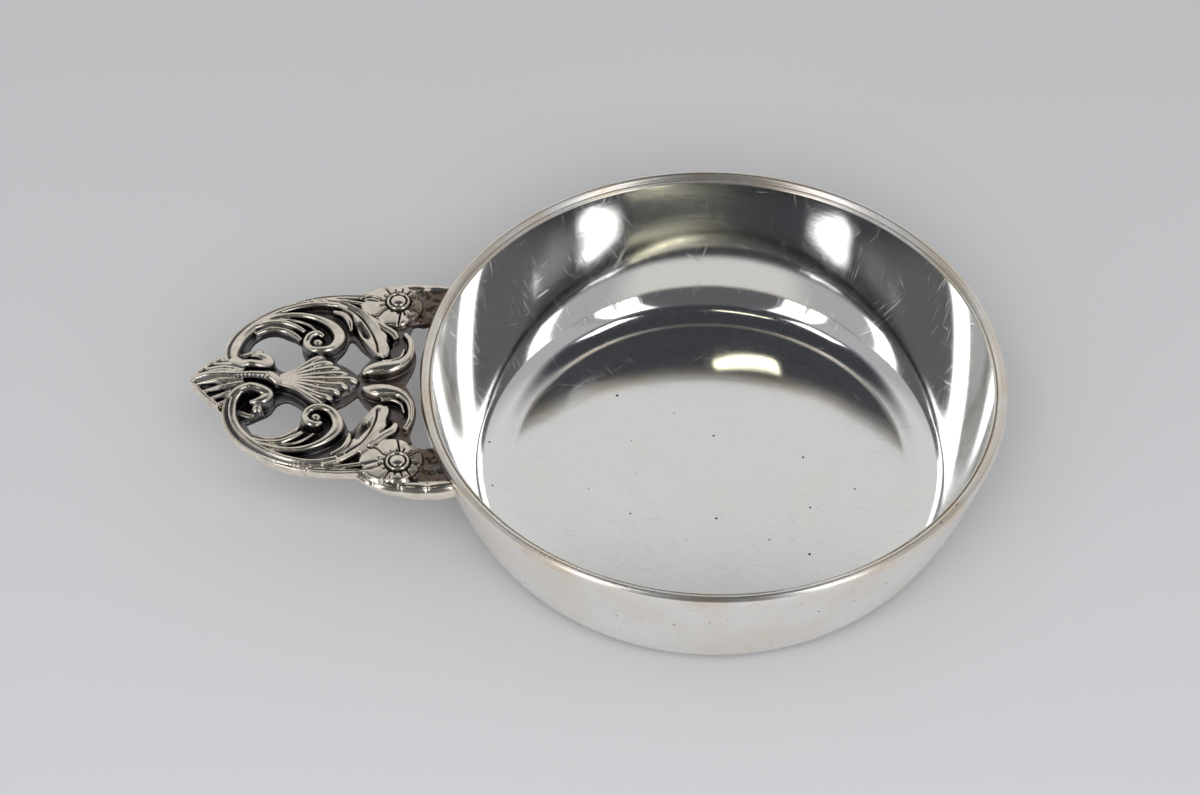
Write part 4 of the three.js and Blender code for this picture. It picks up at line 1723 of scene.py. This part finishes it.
    def build(self, bowl: "SpunBowl") -> Piece:
        """Model the whole handle.

        Args:
            bowl: The sizes of the bowl that the lugs fit.

        Returns:
            The handle as one closed mesh, in metres.
        """
        side = [band.build(self.face_mm, self.foot_mm) for band in self.side_bands()]
        side += [self.build_flower(), *self.build_boss(), *self.build_balls()]
        side += [self.build_rolled_edge(), self.build_lug()]
        for piece in side:
            activate(piece)
            bpy.ops.object.transform_apply(location=True, rotation=True, scale=True)
        half = joined("handle_half", side)
        apply_modifier(half, "MIRROR", use_axis=(False, True, False), use_mirror_merge=False)
        middle = [band.build(self.face_mm, self.foot_mm) for band in self.middle_bands()]
        handle = joined("cast_handle", [half, self.build_plate(), *middle])
        close_and_face_outwards(handle, self.doubles_mm)
        apply_modifier(
            handle, "REMESH", mode="VOXEL", voxel_size=self.voxel_mm, use_smooth_shade=True,
        )
        log.info("handle after the remesh: %d faces", len(handle.data.polygons))
        apply_modifier(handle, "SMOOTH", factor=0.5, iterations=2)
        self.roughen_lugs(handle)
        cutter = self.build_clearance(bowl)
        apply_modifier(handle, "BOOLEAN", operation="DIFFERENCE", solver="EXACT", object=cutter)
        bpy.data.objects.remove(cutter)
        cut = self.chase(handle)
        self.lift_tip(handle)
        self.mark_recesses(handle, cut)
        # Thinned to triangles, because a quad that is left over can fold onto itself
        triangles = sum(len(face.vertices) - 2 for face in handle.data.polygons)
        ratio = self.triangle_limit / triangles
        apply_modifier(handle, "DECIMATE", ratio=ratio, use_collapse_triangulate=True)
        handle.data.transform(Matrix.Scale(MM, 4))
        smooth_by_angle(handle, self.crisp_deg)
        return handle

    def roughen_lugs(self, handle: Piece) -> None:
        """Press soft lumps into the lugs, whose cast skin was left as it came from the mould.

        Args:
            handle: The handle, in millimetres.
        """
        points, normals = corners(handle), corner_normals(handle)
        share = self.on_lug(points)
        bare = np.flatnonzero(share > 0)
        size, depth = self.lump_mm
        lumps = np.array([
            noise.noise(Vector(point) / size) + 0.5 * noise.noise(Vector(point) * 2 / size)
            for point in points[bare]
        ])
        sunk = depth * share[bare] * (lumps - self.lump_sink)
        points[bare] += sunk[:, None] * normals[bare]
        move_corners(handle, points)

    def on_lug(self, points: np.ndarray) -> np.ndarray:
        """Tell how far each corner belongs to the bare part of a lug, beside the flower.

        Args:
            points: Corner positions in millimetres.

        Returns:
            1 on the lug and 0 elsewhere, with a soft edge.
        """
        reach_x, reach_y = self.flower_reach_mm
        off_x = (-points[:, 0] - self.flower_mm[0]) / reach_x
        off_y = (np.abs(points[:, 1]) - self.flower_mm[1]) / reach_y
        beside = smoothstep(np.hypot(off_x, off_y), *self.bare_lug_beside)
        towards = smoothstep(points[:, 0], *self.bare_lug_from_mm)
        off_middle = np.abs(points[:, 1])
        edge = -self.lug_outer_mm
        within = smoothstep(-off_middle, edge, edge + self.bare_lug_edge_mm)
        return beside * towards * within * (off_middle > self.lug_inner_mm - 1)

    def chase(self, handle: Piece) -> np.ndarray:
        """Press the chased lines into the top of the casting, on both halves.

        Args:
            handle: The handle, in millimetres.

        Returns:
            How deep each corner was pressed, as a share of a full cut.
        """
        points = corners(handle)
        upward = np.clip(corner_normals(handle)[:, 2] * 2, 0, 1)
        place = np.stack([-points[:, 0], np.abs(points[:, 1])], axis=1)
        pressed = np.zeros(len(points))
        for chased in self.chased_lines():
            line = np.array(chased.places)
            if len(line) > 2:
                line = smooth_rows(chased.places, 6)
            low, high = line.min(0) - chased.width_mm, line.max(0) + chased.width_mm
            near = np.flatnonzero(((place > low) & (place < high)).all(axis=1))
            best = np.full(len(near), np.inf)
            for start, end in zip(line, line[1:]):
                along = end - start
                t = np.clip(((place[near] - start) @ along) / (along @ along), 0, 1)
                gap = np.linalg.norm(place[near] - start - t[:, None] * along, axis=1)
                best = np.minimum(best, gap)
            depth = chased.depth_mm * np.exp(-(best / (chased.width_mm / 2)) ** 2)
            pressed[near] = np.maximum(pressed[near], depth)
        pressed *= upward
        points[:, 2] -= pressed
        move_corners(handle, points)
        return pressed / self.full_cut_mm

    def lift_tip(self, handle: Piece) -> None:
        """Curve the leaf tip gently upwards.

        Args:
            handle: The handle, in millimetres.
        """
        points = corners(handle)
        start = self.tip_mm - self.tip_lift_run_mm
        points[:, 2] += self.tip_lift_mm * smoothstep(-points[:, 0], start, self.tip_mm)
        move_corners(handle, points)

    def enclosure(self, points: np.ndarray, normals: np.ndarray) -> np.ndarray:
        """Measure how far each corner is shut in by what stands round it, seen from above.

        The tops of the casting are laid out on a grid, and each corner looks round it for the
        steepest rise in each direction.

        Args:
            points: Corner positions in millimetres.
            normals: Corner normals.

        Returns:
            0 in the open, towards 1 in a deep crease.
        """
        pitch = self.voxel_mm
        low = points[:, :2].min(0) - 1
        cell = np.floor((points[:, :2] - low) / pitch).astype(int)
        size = cell.max(0) + 8
        tops = np.full(size, -np.inf)
        upper = normals[:, 2] > 0.1
        np.maximum.at(tops, (cell[upper, 0], cell[upper, 1]), points[upper, 2])
        # Fills the grid's gaps from their neighbours
        for _ in range(2):
            around = np.stack([np.roll(tops, shift, axis) for axis in (0, 1) for shift in (-1, 1)])
            tops = np.where(np.isfinite(tops), tops, around.max(0))
        shut = np.zeros(len(points))
        for number in range(self.look_directions):
            turn = 2 * math.pi * number / self.look_directions
            rise = np.zeros(len(points))
            for reach in self.look_mm:
                spot = points[:, :2] - low + reach * np.array([math.cos(turn), math.sin(turn)])
                spot = np.clip(np.floor(spot / pitch).astype(int), 0, size - 1)
                rise = np.maximum(rise, (tops[spot[:, 0], spot[:, 1]] - points[:, 2]) / reach)
            shut += np.sin(np.arctan(rise)) / self.look_directions
        return shut

    def mark_recesses(self, handle: Piece, cut: np.ndarray) -> None:
        """Store on each corner how much oxide stays there.

        Args:
            handle: The handle, in millimetres.
            cut: How deep the chasing pressed each corner.
        """
        points, normals = corners(handle), corner_normals(handle)
        off_middle = np.abs(points[:, 1])
        shut = self.enclosure(points, normals) + self.cut_oxide * np.clip(cut, 0, 1)
        recess = smoothstep(shut, *self.shut_in)
        below = points[:, 2] < self.floor_mm + self.floor_band_mm
        low_floor = (normals[:, 2] > self.level) & below
        recess[low_floor] = np.maximum(recess[low_floor], self.floor_oxide)
        beyond = off_middle > self.lug_outer_mm - self.rolled_band_mm
        rolled = beyond & (points[:, 0] > self.rolled_from_mm)
        recess[rolled] *= self.rolled_oxide
        in_flower = off_middle > self.lug_inner_mm - 1
        towards_rim = in_flower * ~rolled * smoothstep(points[:, 0], *self.rim_run_mm)
        recess = np.maximum(recess, self.lug_oxide * self.on_lug(points))
        recess = np.maximum(recess, self.rim_oxide * towards_rim)
        walls = np.abs(normals[:, 2]) < self.steep
        outer = self.outline_distance(points) < self.outer_band_mm
        recess[walls & outer] *= self.outer_wall_oxide
        recess[normals[:, 2] < -self.steep] = self.back_oxide
        mark(handle, CastSilver.mask, recess)

    def outline_distance(self, points: np.ndarray) -> np.ndarray:
        """Measure how far each corner is from the handle's outer edge, seen from above.

        Args:
            points: Corner positions in millimetres.

        Returns:
            The distances in millimetres.
        """
        place = np.stack([-points[:, 0], np.abs(points[:, 1])], axis=1)
        outer = self.outline[:self.outer_stretches]
        edge = np.vstack([smooth_rows(stretch, self.curve_steps) for stretch in outer])
        best = np.full(len(points), np.inf)
        for spot in edge:
            best = np.minimum(best, np.linalg.norm(place - spot, axis=1))
        return best

    def dress(self, bowl: "SpunBowl") -> None:
        """Build the handle, finish it and put it in place of its node.

        Args:
            bowl: The sizes of the bowl that the lugs fit.
        """
        handle = self.build(bowl)
        handle.data.materials.clear()
        handle.data.materials.append(CastSilver().material())
        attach(handle, BODY)
        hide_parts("handle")
        log.info("handle: %d faces", len(handle.data.polygons))


# The solder seams


@dataclass
class SolderSeams:
    """The two fillets of solder under the lugs, whose solids are carried over from the frame."""

    nodes: tuple[str, ...] = ("solder_fillet_left", "solder_fillet_right")

    def dress(self) -> None:
        """Give both fillets the skin of hard solder."""
        skin = HardSolder().material()
        for name in self.nodes:
            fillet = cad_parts[name]
            fillet.data.materials[0] = skin
            log.info("%s: %d faces", name, len(fillet.data.polygons))


def main() -> None:
    """Build the studio and each sub-assembly in order."""
    logging.basicConfig(level=logging.INFO, format="%(message)s")
    studio = Studio()
    studio.place_camera()
    studio.lay_floor()
    studio.light()
    bowl = SpunBowl()
    bowl.dress()
    ScrollHandle().dress(bowl)
    SolderSeams().dress()


if __name__ == "__main__":
    main()
